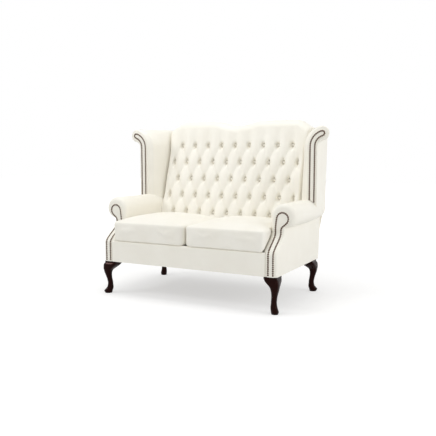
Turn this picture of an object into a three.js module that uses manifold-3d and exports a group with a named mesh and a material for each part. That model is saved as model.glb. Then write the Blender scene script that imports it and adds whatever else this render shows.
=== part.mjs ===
// High back settee: a timber frame on cabriole legs, sprung seat, deep-buttoned reclined back,
// scrolled wings and arms with nailed facings, and two loose seat cushions.
// Millimetres. X to the right as seen from the front, Y to the back, Z up. While the pieces are
// made, Y is 0 at the front border and Z is 0 on the floor.
import * as THREE from 'three';
import Module from 'manifold-3d';
import { mergeVertices } from 'three/addons/utils/BufferGeometryUtils.js';

const wasm = await Module();
wasm.setup();

// Overall sizes
const backHeight = 1054;
const baseHalfWidth = 561;
const baseDepth = 682;
const legHeight = 198;
const railHeight = 124;
const backRakeSlope = 0.128;
const fitGap = 0.3;
const overrun = 20;

// Covers
const leather = 5;
const borderThickness = 8;
const deckThickness = 20.7;
const coverThickness = 1.5;
const coverLift = 2;

// Timber
const railThickness = 25;
const blockReach = 70;
const blockRise = 60;
const armWall = 20;
const postWidth = 46;
const postDepth = 50;
const postFootDepth = 90;
const postFootRise = 120;
const postTopDrop = 42;
const postInset = 54;
const stumpDepth = 33;
const armRailWidth = 40;
const armRailHeight = 34;
const topRailDrop = 34;
const topRailHeight = 70;
const backRailThickness = 28;
const lowerRailHeight = 60;
const lowerRailRise = 32;
const stileWidth = 60;
const wingPostDepth = 26;
const wingPostCover = 16;
const wingPostInnerCover = 10;
const wingRailSize = 28;
const wingRailLift = 9;

// Legs: the block is square, and each section is a superellipse on the block's diagonal
const legBlock = 77;
const rearLegInset = 31;
const legRiseShares = [1, 0.95, 0.91, 0.865, 0.82, 0.77, 0.71, 0.64, 0.55, 0.44, 0.3, 0.19, 0.12, 0.06, 0];
const legCentreShares = [
  0.5, 0.5, 0.452, 0.402, 0.345, 0.27, 0.205, 0.19, 0.213, 0.257, 0.302, 0.293, 0.235, 0.175, 0.19,
];
const legHalfShares = [
  0.5, 0.5, 0.51, 0.49, 0.445, 0.385, 0.32, 0.285, 0.242, 0.213, 0.208, 0.238, 0.26, 0.27, 0.235,
];
const legToeShares = [1, 1, 1.09, 1.1, 1.12, 1.12, 1.05, 1, 1, 1, 1, 1.03, 1.18, 1.25, 1.15];
const legSquareness = [16, 12, 6, 5, 4, 3.2, 2.7, 2.4, 2.2, 2, 2, 2, 2, 2, 2];
const legSides = 20;
const boltRadius = 4;
const boltLength = 90;
const boltInLeg = 40;
const boltHeadRadius = 5.5;
const boltHeadRise = 4;
const boltSides = 12;

// Arms
const armBaseWidth = 81;
const armRollRadius = 71;
const armRearRadius = 53;
const armRollHeight = 506;
const armCreaseDrop = 60;
const armSetback = 108;
const armSweepDip = 10;
const armSweepDrop = 82;
const armTaperLead = 53;
const armTaperRun = 345;
const armTailRun = 21.4;
const armFrontRounding = 24;
const armWrap = 12;
const sidePanelTuck = 48;
const sweepSteps = 6;
const rollSteps = 8;
const underSteps = 5;
const roundingShares = [0, 0.3, 0.62, 1];
const armStationShares = [0, 0.25, 0.5, 0.75, 1];

// Nailed facings: a strip with a nail line near each edge
const armNailInset = 48;
const armNailWidth = 28;
const armHeadRadius = 34;
const armHeadInset = 12;
const armHeadDrop = 8;
const armNeckInset = 52;
const armNeckDrop = 50;
const armHeadExit = 0.86;
const armStumpEntryShare = 0.95;
const armStumpExitShare = 0.6;
const headSteps = 9;
const facingBorder = 5;
const facingThickness = 4;
const nailWidth = 5.5;
const nailRise = 2;

// Wings: a padded blade whose top turns outwards in a scroll
const wingDepth = 214;
const wingDrop = 50;
const wingInnerInset = 4;
const wingOuterReach = 54;
const wingRearReach = 16;
const wingBulgeInset = 33;
const wingBulgeRun = 30;
const wingSeamGap = 0.5;
const scrollRadius = 77;
const scrollTurnFront = 1.33;
const scrollTurnRear = 0.05;
const scrollHeadRadius = 43;
const scrollHold = 36;
const wingFrontRounding = 20;
const wingDrawShare = 0.4;
const wingFrontShares = [0, 0.14, 0.33, 0.61, 1];
const wingRearShares = [0.3, 0.5, 0.75, 1];
const wingWall = 24;
const wingNailHalf = 14;
const wingPanelSetback = 24;
const scrollSteps = 5;

// Deep-buttoned inside back
const backInset = 61;
const backThicknessTop = 81.4;
const backThicknessFoot = 203.1;
const tuftTopDrop = 157;
const tuftFootRise = 142.6;
const tuftRise = 30;
const foldRise = 9;
const foldPower = 0.8;
const tuftRows = [9, 10, 9, 10, 9];
const tuftSteps = 2;
const crestFoldShare = 0.35;
const buttonRadius = 9;
const buttonRise = 7;
const buttonSink = 6;
const buttonSides = 4;
const seamDepth = 40;
const seamRun = 57;
const seamPower = 2.4;
const seamShares = [0.5, 0.86, 1];
const crestDip = 32;
const crestDipRun = 190;
const shoulderInset = 100;
const shoulderRun = 115;
const shoulderDrop = 52;
const crestFrontRound = 44;
const crestRearRound = 24;
const crestFrontShares = [0, 0.5, 1];
const crestRearShares = [0, 1];
const backPanelDrop = 28;
const webbingWidth = 50;
const webbingThickness = 2;
const webbingSpacing = 130;
const webbingRows = 3;
const webbingColumns = 7;

// Seat cushions
const cushionOverhang = 15;
const cushionSideInset = 53;
const cushionEdge = 117;
const cushionCrown = 41;
const cushionRounding = 17;
const cushionFootRounding = 15;
const cushionCorner = 34;
const cushionLeastCorner = 8.5;
const cushionDrawn = 2;
const cushionClearance = 2;
const cushionCrownPower = 2.6;
const cushionRoundingShares = [0, 0.5, 1];
const cushionTopShares = [0.22, 0.5, 0.8];
const cushionSideSteps = 8;
const cushionCornerSteps = 3;

// Springs
const springWire = 3.8;
const springSwing = 24;
const springCount = 5;
const springWaves = 6;
const springWaveSteps = 6;

// Colours, with roughness and metalness
const finish = {
  leather: [0xf6f1e4, 0.5, 0],
  timber: [0xc8a878, 0.75, 0],
  mahogany: [0x1d0807, 0.18, 0],
  nail: [0x6e5f54, 0.38, 0.85],
  steel: [0x8d9094, 0.4, 0.9],
  cloth: [0x2a2a2c, 0.95, 0],
  strap: [0xb79f77, 0.9, 0],
};

function mix(a, b, t) {
  return a + (b - a) * t;
}

function smooth(t) {
  const s = Math.min(1, Math.max(0, t));
  return s * s * (3 - 2 * s);
}

// Heights
const deckHeight = legHeight + railHeight;
const baseFloor = legHeight + coverLift;
const railTop = deckHeight - deckThickness - fitGap;
const armHeadHeight = armRollHeight - armHeadDrop;
const armNeckHeight = armHeadHeight - armNeckDrop;
const armHeadTop = armHeadHeight + armHeadRadius;
const armSweepLow = deckHeight - armSweepDip;
const armSweepHigh = armRollHeight - armSweepDrop;
const wingTop = backHeight - wingDrop;
const wingCentreHeight = wingTop - scrollHeadRadius;
const wingPanelTop = wingCentreHeight - scrollRadius;
const tuftTopHeight = backHeight - tuftTopDrop;
const tuftDrop = (tuftTopHeight - deckHeight - tuftFootRise) / (tuftRows.length - 1);
const lowerRailFloor = deckHeight + lowerRailRise;
const lowerRailTop = lowerRailFloor + lowerRailHeight;

// Widths, from the middle to one side
const armInner = baseHalfWidth - armBaseWidth;
const stumpInner = armInner + armWall;
const coverInner = stumpInner - leather;
const timberOuter = baseHalfWidth - leather - fitGap;
const sideRailInner = timberOuter - railThickness;
const postInner = baseHalfWidth - postInset;
const backHalfWidth = baseHalfWidth - backInset;
const shoulderStart = backHalfWidth - shoulderInset;
const tuftSpacing = (2 * (backHalfWidth - seamRun)) / tuftRows[0];
const armNailInner = baseHalfWidth - armNailInset;
const armNailOuter = armNailInner + armNailWidth;
const armHeadX = baseHalfWidth - armHeadInset;
const armNeckX = baseHalfWidth - armNeckInset;
const wingInnerFront = baseHalfWidth - wingInnerInset;
const wingOuterFront = baseHalfWidth + wingOuterReach;
const wingOuterRear = baseHalfWidth + wingRearReach;
const wingBulgeInner = baseHalfWidth - wingBulgeInset;
const wingInnerRear = backHalfWidth + wingSeamGap;
const wingMid = (wingInnerFront + wingOuterFront) / 2;
const cushionHalfSpan = baseHalfWidth - cushionSideInset;
const farSide = wingOuterFront + 4 * overrun;

// Depths, some of which change with the height
const railBack = leather + fitGap;
const wingFront = baseDepth - wingDepth;
const armTaperStart = wingFront - armTaperLead;
const backTimberDepth = railBack + backRailThickness + webbingThickness + 2 * fitGap;
const nailBack = facingThickness + 2 * fitGap;
const rearAt = (z) => baseDepth + backRakeSlope * (z - legHeight);
const backShareAt = (z) => (z - deckHeight) / (backHeight - deckHeight);
const backThicknessAt = (z) => mix(backThicknessFoot, backThicknessTop, backShareAt(z));
const pitAt = (z) => rearAt(z) - backThicknessAt(z);
const padRearAt = (z) => rearAt(z) - backTimberDepth;
const sweepHeights = [];
for (let i = 0; i <= sweepSteps; i += 1) {
  sweepHeights.push(mix(armSweepLow, armSweepHigh, i / sweepSteps));
}
// Setback of the arm's front at a height: a smooth sweep, in straight steps
const armSweepAt = (z) => {
  const at = Math.max(0, Math.min(1, (z - armSweepLow) / (armSweepHigh - armSweepLow))) * sweepSteps;
  const step = Math.floor(at);
  return armSetback * mix(smooth(step / sweepSteps), smooth((step + 1) / sweepSteps), at - step);
};
const stumpRearAt = (z) => armSweepAt(z) + armWrap + stumpDepth + fitGap;
const postFrontAt = (z) => rearAt(z) - railBack - postDepth;
const tuftSlope = (pitAt(backHeight) - pitAt(deckHeight)) / (backHeight - deckHeight);
const armLastStation = rearAt(armRollHeight) - armTailRun;
const wingRun = rearAt(wingTop) - wingFront;
const wingOuterSlope = (wingOuterRear - wingOuterFront) / wingRun;
const farBack = rearAt(backHeight) + 4 * overrun;
const lowEnd = legHeight - overrun;
const highEnd = backHeight + overrun;

// Stations across the back: at the buttons and between them, and closer together at the seams
const tuftReach = tuftRows[0] * tuftSteps;
const backColumns = [];
for (let i = -tuftReach; i <= tuftReach; i += 1) {
  backColumns.push((i / tuftSteps) * (tuftSpacing / 2));
}
for (const share of seamShares) {
  backColumns.push(mix(backHalfWidth - seamRun, backHalfWidth, share));
  backColumns.unshift(-mix(backHalfWidth - seamRun, backHalfWidth, share));
}

function crestAt(x) {
  const dip = crestDip * (1 - smooth(Math.abs(x) / crestDipRun));
  const shoulder = shoulderDrop * smooth((Math.abs(x) - shoulderStart) / shoulderRun);
  return backHeight - dip - shoulder;
}

const settee = new THREE.Group();

function material(name) {
  const [color, roughness, metalness] = finish[name];
  return new THREE.MeshStandardMaterial({ color, roughness, metalness });
}

function signedVolume(geometry) {
  const p = geometry.attributes.position;
  const index = geometry.index;
  const [a, b, c] = [new THREE.Vector3(), new THREE.Vector3(), new THREE.Vector3()];
  let sum = 0;
  for (let i = 0; i < index.count; i += 3) {
    a.fromBufferAttribute(p, index.getX(i));
    b.fromBufferAttribute(p, index.getX(i + 1));
    c.fromBufferAttribute(p, index.getX(i + 2));
    sum += a.dot(b.cross(c));
  }
  return sum;
}

// A body from a list of points and triangles, turned so that its faces point out
function body(points, triangles) {
  const geometry = new THREE.BufferGeometry();
  const places = points.flatMap((p) => [p.x, p.y, p.z]);
  geometry.setAttribute('position', new THREE.Float32BufferAttribute(places, 3));
  geometry.setIndex(triangles);
  if (signedVolume(geometry) < 0) {
    geometry.setIndex(triangles.map((v, i) => triangles[i - (i % 3) + [0, 2, 1][i % 3]]));
  }
  return geometry;
}

// Joins rings of equal length side by side. Each end is closed flat, or by a fan about its middle.
// Where an end is bent, rungs is how many steps of its two sides are joined straight across.
function loft(rings, axis = 'y', fanned = false, rungs = 0) {
  const count = rings[0].length;
  const points = rings.flat();
  const triangles = [];
  for (let k = 0; k + 1 < rings.length; k += 1) {
    for (let i = 0; i < count; i += 1) {
      const j = (i + 1) % count;
      const [a, b] = [k * count + i, k * count + j];
      triangles.push(a, b, b + count, a, b + count, a + count);
    }
  }
  const [u, v] = { x: ['y', 'z'], y: ['x', 'z'], z: ['x', 'y'] }[axis];
  const fan = (ring, base, alongRing) => {
    const middle = ring.reduce((sum, p) => sum.add(p), new THREE.Vector3()).divideScalar(count);
    points.push(middle);
    for (let i = 0; i < count; i += 1) {
      const [a, b] = [base + i, base + ((i + 1) % count)];
      triangles.push(points.length - 1, alongRing ? a : b, alongRing ? b : a);
    }
  };
  const cap = (ring, base, alongRing) => {
    const turned = (a, b, c) => {
      triangles.push(base + a, base + (alongRing ? b : c), base + (alongRing ? c : b));
    };
    for (let i = 0; i < rungs; i += 1) {
      turned(i, i + 1, count - 2 - i);
      turned(i, count - 2 - i, count - 1 - i);
    }
    const flat = ring.slice(rungs, count - rungs).map((p) => new THREE.Vector2(p[u], p[v]));
    const forward = THREE.ShapeUtils.area(flat) > 0;
    for (const [a, b, c] of THREE.ShapeUtils.triangulateShape(flat.slice(), [])) {
      const same = (THREE.ShapeUtils.area([flat[a], flat[b], flat[c]]) > 0) === forward;
      turned(rungs + a, rungs + (same ? b : c), rungs + (same ? c : b));
    }
  };
  const close = fanned ? fan : cap;
  close(rings[0], 0, false);
  close(rings[rings.length - 1], (rings.length - 1) * count, true);
  return body(points, triangles);
}

function toSolid(geometry) {
  const bare = geometry.clone();
  bare.deleteAttribute('normal');
  bare.deleteAttribute('uv');
  const merged = mergeVertices(bare);
  return new wasm.Manifold(new wasm.Mesh({
    numProp: 3,
    vertProperties: new Float32Array(merged.attributes.position.array),
    triVerts: new Uint32Array(merged.index.array),
  }));
}

function toGeometry(solid) {
  const mesh = solid.getMesh();
  const geometry = new THREE.BufferGeometry();
  geometry.setAttribute('position', new THREE.BufferAttribute(new Float32Array(mesh.vertProperties), 3));
  geometry.setIndex(new THREE.BufferAttribute(new Uint32Array(mesh.triVerts), 1));
  return geometry;
}

function without(whole, ...cuts) {
  return cuts.reduce((left, cut) => left.subtract(cut), whole);
}

function extruded(points, depth) {
  const shape = new THREE.Shape(points.map(([a, b]) => new THREE.Vector2(a, b)));
  return new THREE.ExtrudeGeometry(shape, { depth, bevelEnabled: false });
}

// Prisms along each axis: the outline is given in the other two
function prismX(points, x0, x1) {
  const across = new THREE.Vector3(0, 1, 0);
  const up = new THREE.Vector3(0, 0, 1);
  const along = new THREE.Vector3(1, 0, 0);
  const basis = new THREE.Matrix4().makeBasis(across, up, along);
  return toSolid(extruded(points, x1 - x0).applyMatrix4(basis).translate(x0, 0, 0));
}

function prismY(points, y0, y1) {
  const across = new THREE.Vector3(1, 0, 0);
  const up = new THREE.Vector3(0, 0, 1);
  const along = new THREE.Vector3(0, -1, 0);
  const basis = new THREE.Matrix4().makeBasis(across, up, along);
  return toSolid(extruded(points, y1 - y0).applyMatrix4(basis).translate(0, y1, 0));
}

function prismZ(points, z0, z1) {
  return toSolid(extruded(points, z1 - z0).translate(0, 0, z0));
}

function box(x0, x1, y0, y1, z0, z1) {
  return prismZ([[x0, y0], [x1, y0], [x1, y1], [x0, y1]], z0, z1);
}

function place(name, solidOrGeometry, finishName) {
  const geometry = solidOrGeometry.isBufferGeometry ? solidOrGeometry : toGeometry(solidOrGeometry);
  const mesh = new THREE.Mesh(geometry, material(finishName));
  mesh.name = name;
  settee.add(mesh);
}

function mirrored(geometry) {
  const copy = geometry.clone();
  copy.scale(-1, 1, 1);
  const index = copy.index.array;
  for (let i = 0; i < index.length; i += 3) {
    [index[i + 1], index[i + 2]] = [index[i + 2], index[i + 1]];
  }
  return copy;
}

function mirroredSolid(solid) {
  return toSolid(mirrored(toGeometry(solid)));
}

// The right-hand piece is modelled and the left-hand one is its mirror image
function placePair(name, solid, finishName) {
  const geometry = toGeometry(solid);
  place(`${name}_right`, geometry, finishName);
  place(`${name}_left`, mirrored(geometry), finishName);
}

// Points (y, z) of the arm front's sweep, moved back by a distance
function sweepLine(back, z0, z1) {
  const heights = [z0, ...sweepHeights.filter((z) => z > z0 && z < z1), z1];
  return heights.map((z) => [armSweepAt(z) + back, z]);
}

// A plate bent to the arm front: from one distance behind it to another
function sweepPlate(front, rear, z0, z1, x0, x1) {
  return prismX([...sweepLine(front, z0, z1), ...sweepLine(rear, z0, z1).reverse()], x0, x1);
}

// Cuts outlines (x, z) into one plate that leans with the outside back
function rearPlate(outlines, front, rear) {
  const blocks = outlines.map((outline) => prismY(outline, baseDepth / 2, farBack));
  const lean = [[rearAt(lowEnd) - front, lowEnd], [rearAt(lowEnd) - rear, lowEnd],
    [rearAt(highEnd) - rear, highEnd], [rearAt(highEnd) - front, highEnd]];
  return blocks.reduce((sum, one) => sum.add(one)).intersect(prismX(lean, -farSide, farSide));
}

// Everything behind the outside of the back
function behindBack() {
  return prismX([[rearAt(lowEnd), lowEnd], [rearAt(highEnd), highEnd], [farBack + overrun, highEnd],
    [farBack + overrun, lowEnd]], -farSide, farSide);
}

function bandOutline(outerLine, innerLine) {
  return [...outerLine, ...innerLine.slice().reverse()];
}

// Legs

const boltX = timberOuter + railBack - fitGap - legBlock / 2;
const frontBoltY = legBlock / 2;
const rearBoltY = baseDepth - rearLegInset - legBlock / 2;

function bolt(grow) {
  const [r, head] = [boltRadius + grow, boltHeadRadius + grow];
  const profile = [[0, -grow], [head, -grow], [head, boltHeadRise + grow], [r, boltHeadRise + grow],
    [r, boltLength + grow], [0, boltLength + grow]];
  const turned = new THREE.LatheGeometry(profile.map(([a, b]) => new THREE.Vector2(a, b)), boltSides);
  return turned.rotateX(Math.PI / 2);
}

function boltAt(x, y, grow) {
  return toSolid(bolt(grow).translate(x, y, legHeight - boltInLeg));
}

function legSection(station, cornerX, cornerY, towardsX, towardsY) {
  const z = legHeight * legRiseShares[station] - (station === 0 ? fitGap : 0);
  const centre = legBlock * legCentreShares[station];
  const half = legBlock * legHalfShares[station];
  const power = 2 / legSquareness[station];
  const toeShare = legToeShares[station];
  const ring = [];
  for (let i = 0; i < legSides; i += 1) {
    const angle = (2 * Math.PI * (i + 0.5)) / legSides;
    const sx = Math.sign(Math.cos(angle)) * Math.abs(Math.cos(angle)) ** power * half;
    const sy = Math.sign(Math.sin(angle)) * Math.abs(Math.sin(angle)) ** power * half;
    const along = ((sx + sy) / 2) * toeShare;
    const wide = (sx - sy) / 2;
    const [dx, dy] = [centre + along + wide, centre + along - wide];
    ring.push(new THREE.Vector3(cornerX + towardsX * dx, cornerY + towardsY * dy, z));
  }
  return ring;
}

function placeLeg(name, side, cornerY, inwards, boltY) {
  const rings = legRiseShares.map((share, k) => {
    return legSection(k, side * (baseHalfWidth - fitGap), cornerY, -side, inwards);
  });
  const leg = without(toSolid(loft(rings, 'z')), boltAt(side * boltX, boltY, fitGap));
  place(`leg_${name}`, leg, 'mahogany');
  place(`leg_bolt_${name}`, boltAt(side * boltX, boltY, 0), 'steel');
}

placeLeg('front_left', -1, 0, 1, frontBoltY);
placeLeg('front_right', 1, 0, 1, frontBoltY);
placeLeg('rear_left', -1, baseDepth - rearLegInset, -1, rearBoltY);
placeLeg('rear_right', 1, baseDepth - rearLegInset, -1, rearBoltY);

// Shapes that several pieces share

// Arm outline at one depth: inside wall, roll and underside
function armSection(y, grow, inset, floor) {
  const taper = smooth((y - armTaperStart) / armTaperRun);
  const radius = mix(armRollRadius, armRearRadius, taper);
  const centreX = armInner + radius;
  const r = radius + grow - inset;
  const drop = armCreaseDrop + grow - inset;
  const outer = baseHalfWidth + grow - inset;
  const turn = Math.acos(Math.max(-1, Math.min(1, (outer - centreX) / r)));
  const inner = armInner - grow + inset;
  const heights = sweepHeights.filter((z) => z > floor);
  const ring = [[inner, floor], ...heights.map((z) => [inner, z])];
  for (let i = 0; i <= rollSteps; i += 1) {
    const angle = Math.PI * (1 - i / rollSteps);
    ring.push([centreX + r * Math.cos(angle), armRollHeight + r * Math.sin(angle)]);
  }
  for (let i = 1; i <= underSteps; i += 1) {
    const angle = (-turn * i) / underSteps;
    ring.push([centreX + r * Math.cos(angle), armRollHeight + drop * Math.sin(angle)]);
  }
  ring.push(...heights.reverse().map((z) => [outer, z]), [outer, floor]);
  return ring;
}

// The arm from its swept front, rounded all round, to the outside of the back
function armEnvelope(grow) {
  const floor = deckHeight + fitGap - grow;
  const rings = roundingShares.map((share) => {
    const angle = (share * Math.PI) / 2;
    const inset = armFrontRounding * (1 - Math.sin(angle));
    const run = armFrontRounding * (1 - Math.cos(angle)) - grow;
    const section = armSection(armSetback, grow, inset, floor);
    return section.map(([x, z]) => new THREE.Vector3(x, armSweepAt(z) + run, z));
  });
  for (const share of armStationShares) {
    const y = mix(armTaperStart, armLastStation, share);
    rings.push(armSection(y, grow, 0, floor).map(([x, z]) => new THREE.Vector3(x, y, z)));
  }
  const last = armSection(armLastStation, grow, 0, floor);
  rings.push(last.map(([x, z]) => new THREE.Vector3(x, rearAt(z) + overrun, z)));
  return toSolid(loft(rings, 'y', false, sweepHeights.filter((z) => z > floor).length));
}

// Outline of the arm's facing: a stem, a neck that leans inwards and a round head
function keyhole(grow, floor) {
  const points = [[armNailInner - grow, floor], [armNailInner - grow, armSweepLow]];
  points.push([armNeckX - grow, armNeckHeight]);
  const r = armHeadRadius + grow;
  for (let i = 0; i <= headSteps; i += 1) {
    const angle = mix(Math.PI, -armHeadExit, i / headSteps);
    points.push([armHeadX + r * Math.cos(angle), armHeadHeight + r * Math.sin(angle)]);
  }
  points.push([armNailOuter + grow, armNeckHeight], [armNailOuter + grow, floor]);
  return points;
}

function stumpSolid(grow) {
  const r = armHeadRadius + grow;
  const outline = [[stumpInner - grow, baseFloor - grow], [stumpInner - grow, armHeadHeight]];
  for (let i = 0; i <= rollSteps; i += 1) {
    const angle = mix(Math.PI * armStumpEntryShare, -armHeadExit * armStumpExitShare, i / rollSteps);
    outline.push([armHeadX + r * Math.cos(angle), armHeadHeight + r * Math.sin(angle)]);
  }
  outline.push([timberOuter + grow, armNeckHeight], [timberOuter + grow, baseFloor - grow]);
  const [front, rear] = [armWrap + fitGap - grow, armWrap + stumpDepth + grow];
  const curved = sweepPlate(front, rear, baseFloor - grow, armHeadTop + grow, stumpInner - grow, farSide);
  return prismY(outline, -overrun, stumpRearAt(armSweepHigh) + overrun).intersect(curved);
}

function postSolid(grow) {
  const [low, high] = [baseFloor - grow, wingTop - postTopDrop + grow];
  const knee = legHeight + postFootRise + overrun;
  const foot = baseDepth - railBack - postFootDepth;
  const back = railBack - grow;
  const outline = [[foot - grow, low], [foot - grow, railTop], [postFrontAt(knee) - grow, knee],
    [postFrontAt(high) - grow, high], [rearAt(high) - back, high], [rearAt(low) - back, low]];
  return prismX(outline, postInner - grow, postInner + postWidth + grow);
}

function armRailSolid(grow) {
  const y0 = stumpRearAt(armSweepHigh) - grow;
  const y1 = postFrontAt(armRollHeight - armRailHeight) - 2 * fitGap + grow;
  const [x, z] = [armHeadX, armRollHeight];
  const [halfWide, halfHigh] = [armRailWidth / 2 + grow, armRailHeight / 2 + grow];
  return box(x - halfWide, x + halfWide, y0, y1, z - halfHigh, z + halfHigh);
}

// Outline of the wing at one depth: a blade whose top turns outwards to a round head
function wingOutline(inner, outer, turn, head, floor, innerFoot = inner) {
  const half = (outer - inner) / 2;
  const mid = (outer + inner) / 2;
  const turnStart = wingCentreHeight - scrollRadius * Math.sin(turn);
  const at = (angle, reach) => [
    mid + scrollRadius * (1 - Math.cos(angle)) - reach * Math.cos(angle),
    turnStart + scrollRadius * Math.sin(angle) + reach * Math.sin(angle)];
  const ring = [[innerFoot, floor]];
  for (let i = 0; i <= scrollSteps; i += 1) {
    ring.push(at((turn * i) / scrollSteps, mix(half, head, i / scrollSteps)));
  }
  const [cx, cz] = at(turn, 0);
  for (let i = 1; i <= scrollSteps; i += 1) {
    const angle = Math.PI - turn - (Math.PI * i) / (scrollSteps + 1);
    ring.push([cx + head * Math.cos(angle), cz + head * Math.sin(angle)]);
  }
  for (let i = scrollSteps; i >= 0; i -= 1) {
    ring.push(at((turn * i) / scrollSteps, -mix(half, head, i / scrollSteps)));
  }
  ring.push([outer, floor]);
  return ring;
}

// The wing's section at a distance behind its front. The rear sections lean with the outside back.
function wingRing(run, leanShare, grow) {
  const bulge = smooth(run / wingBulgeRun);
  const innerAt = (z) => {
    const seam = pitAt(z) + seamDepth - wingFront;
    const back = Math.min(1, Math.max(0, (run - wingBulgeRun) / (seam - wingBulgeRun)));
    return mix(mix(wingInnerFront, wingBulgeInner, bulge), wingInnerRear, back) - grow;
  };
  const short = 1 - Math.min(1, run / wingFrontRounding);
  const drawn = wingFrontRounding * wingDrawShare * (1 - Math.sqrt(1 - short ** 2));
  const inner = innerAt(wingCentreHeight - scrollRadius);
  const outer = wingOuterFront + wingOuterSlope * run + grow;
  const seamTop = pitAt(wingCentreHeight) + seamDepth - wingFront;
  const turn = mix(scrollTurnFront, scrollTurnRear, smooth((run - scrollHold) / (seamTop - scrollHold)));
  const head = mix(scrollHeadRadius, (outer - inner) / 2, run / wingRun) - drawn + grow;
  const outline = wingOutline(inner, outer, turn, head, armRollHeight, innerAt(armRollHeight));
  return outline.map(([x, z]) => {
    const y = mix(wingFront + run, rearAt(z) + overrun, leanShare);
    const outward = Math.min(1, Math.max(0, (x - inner) / (outer - inner)));
    return new THREE.Vector3(x + outward * wingOuterSlope * (y - wingFront - run), y, z);
  });
}

function wingEnvelope(grow) {
  const rings = wingFrontShares.map((share) => wingRing(share * scrollHold, 0, grow));
  for (const share of wingRearShares) {
    rings.push(wingRing(wingRun * share, share, grow));
  }
  return toSolid(loft(rings));
}

function wingPostSolid(grow) {
  const y = wingFront + armWrap;
  const floor = armRollHeight + armRailHeight / 2 + fitGap - grow;
  const [inner, outer] = [wingInnerFront + wingPostInnerCover - grow, wingOuterFront - wingPostCover + grow];
  const outline = wingOutline(inner, outer, scrollTurnFront, scrollHeadRadius - wingPostCover + grow, floor);
  return prismY(outline, y - grow, y + wingPostDepth + grow);
}

function wingRailSolid(grow) {
  const top = wingCentreHeight + wingRailLift;
  const front = wingFront + armWrap + wingPostDepth + fitGap - grow;
  const rear = postFrontAt(top - wingRailSize) - 2 * fitGap + grow;
  const frontX = wingMid + scrollRadius * (1 - Math.cos(scrollTurnFront));
  const rearX = postInner + postWidth / 2;
  const half = wingRailSize / 2 + grow;
  const outline = [
    [frontX - half, front],
    [frontX + half, front],
    [rearX + half, rear],
    [rearX - half, rear],
  ];
  return prismZ(outline, top - wingRailSize - grow, top + grow);
}

function wingPanelSlab(grow) {
  const [y0, y1] = [wingFront + wingPanelSetback - grow, rearAt(wingTop)];
  const outerAt = (y) => wingOuterFront + wingOuterSlope * (y - wingFront);
  const outline = [[outerAt(y0) - leather - grow, y0], [outerAt(y0) + grow, y0],
    [outerAt(y1) + grow, y1], [outerAt(y1) - leather - grow, y1]];
  return prismZ(outline, armRollHeight - grow, wingPanelTop + grow);
}

// Height of the tufted surface above the buttons' pits
function tuftHeight(x, z) {
  const u = Math.abs(x) / (tuftSpacing / 2);
  const v = (tuftTopHeight - z) / tuftDrop;
  const heldU = Math.min(u, tuftRows[0]);
  const heldV = Math.min(Math.max(v, 0), tuftRows.length - 1);
  const bulge = (t) => Math.abs(Math.sin(Math.PI * t)) ** foldPower;
  const [a, b] = [bulge((heldU + heldV) / 2), bulge((heldU - heldV) / 2)];
  const held = foldRise * (a + b - a * b) + (tuftRise - foldRise) * a * b;
  const away = Math.max(u - heldU, Math.abs(v - heldV));
  return tuftRise - (tuftRise - held) * mix(1, crestFoldShare, smooth(away));
}

function backFrontAt(x, z) {
  const edge = Math.max(0, (Math.abs(x) - (backHalfWidth - seamRun)) / seamRun);
  const rise = tuftHeight(x, z) + seamDepth;
  return pitAt(z) + seamDepth - rise * Math.sqrt(Math.max(0, 1 - edge ** seamPower));
}

function backEnvelope() {
  const floor = deckHeight + fitGap;
  const levels = [floor];
  for (let j = (tuftRows.length - 1) * tuftSteps + 1; j >= 0; j -= 1) {
    levels.push(tuftTopHeight - (j / tuftSteps) * tuftDrop);
  }
  const rings = backColumns.map((x) => {
    const crest = crestAt(x);
    const bend = crest - crestFrontRound;
    const heights = [...levels, (tuftTopHeight + bend) / 2];
    const ring = heights.map((z) => new THREE.Vector3(x, backFrontAt(x, z), z));
    for (const share of crestFrontShares) {
      const angle = (share * Math.PI) / 2;
      const z = bend + crestFrontRound * Math.sin(angle);
      const y = backFrontAt(x, bend) + tuftSlope * (z - bend) + crestFrontRound * (1 - Math.cos(angle));
      ring.push(new THREE.Vector3(x, y, z));
    }
    for (const share of crestRearShares) {
      const angle = (share * Math.PI) / 2;
      const z = crest - crestRearRound * (1 - Math.cos(angle));
      ring.push(new THREE.Vector3(x, rearAt(z) - crestRearRound * (1 - Math.sin(angle)), z));
    }
    ring.push(new THREE.Vector3(x, rearAt(floor), floor));
    return ring;
  });
  return toSolid(loft(rings, 'x', true));
}

function coveredButton(x, z) {
  const cone = new THREE.ConeGeometry(buttonRadius, buttonRise + buttonSink, buttonSides);
  cone.translate(0, (buttonRise - buttonSink) / 2, 0).rotateX(Math.PI - Math.atan(tuftSlope));
  return toSolid(cone.translate(x, pitAt(z), z));
}

// A line (x, z) that follows the serpentine crest at a distance below it
function crestLine(drop, edge) {
  const inside = backColumns.filter((x) => Math.abs(x) < edge);
  return [-edge, ...inside, edge].reverse().map((x) => [x, crestAt(x) - drop]);
}

// Room behind the padding for the timber of the back, up to the serpentine top rail
function backRoom(grow) {
  const edge = postInner - fitGap;
  const outline = [[-edge, lowEnd], [edge, lowEnd], ...crestLine(topRailDrop, edge)];
  const tall = prismY(outline, armSetback, farBack);
  const lean = [[padRearAt(lowEnd) - grow, lowEnd], [farBack, lowEnd], [farBack, highEnd],
    [padRearAt(highEnd) - grow, highEnd]];
  return tall.intersect(prismX(lean, -farSide, farSide));
}

function backPanelOutline(grow) {
  const foot = timberOuter + grow;
  const low = legHeight + fitGap - grow;
  return [...crestLine(backPanelDrop - grow, wingOuterRear - leather + grow),
    [-foot, deckHeight], [-foot, low], [foot, low], [foot, deckHeight]];
}

function topRailSolid(grow) {
  const edge = postInner - fitGap + grow;
  const drop = topRailDrop + fitGap;
  const low = crestLine(drop + topRailHeight + grow, edge).reverse();
  const outline = [...crestLine(drop - grow, edge), ...low];
  return rearPlate([outline], railBack + backRailThickness + grow, railBack - grow);
}

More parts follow.
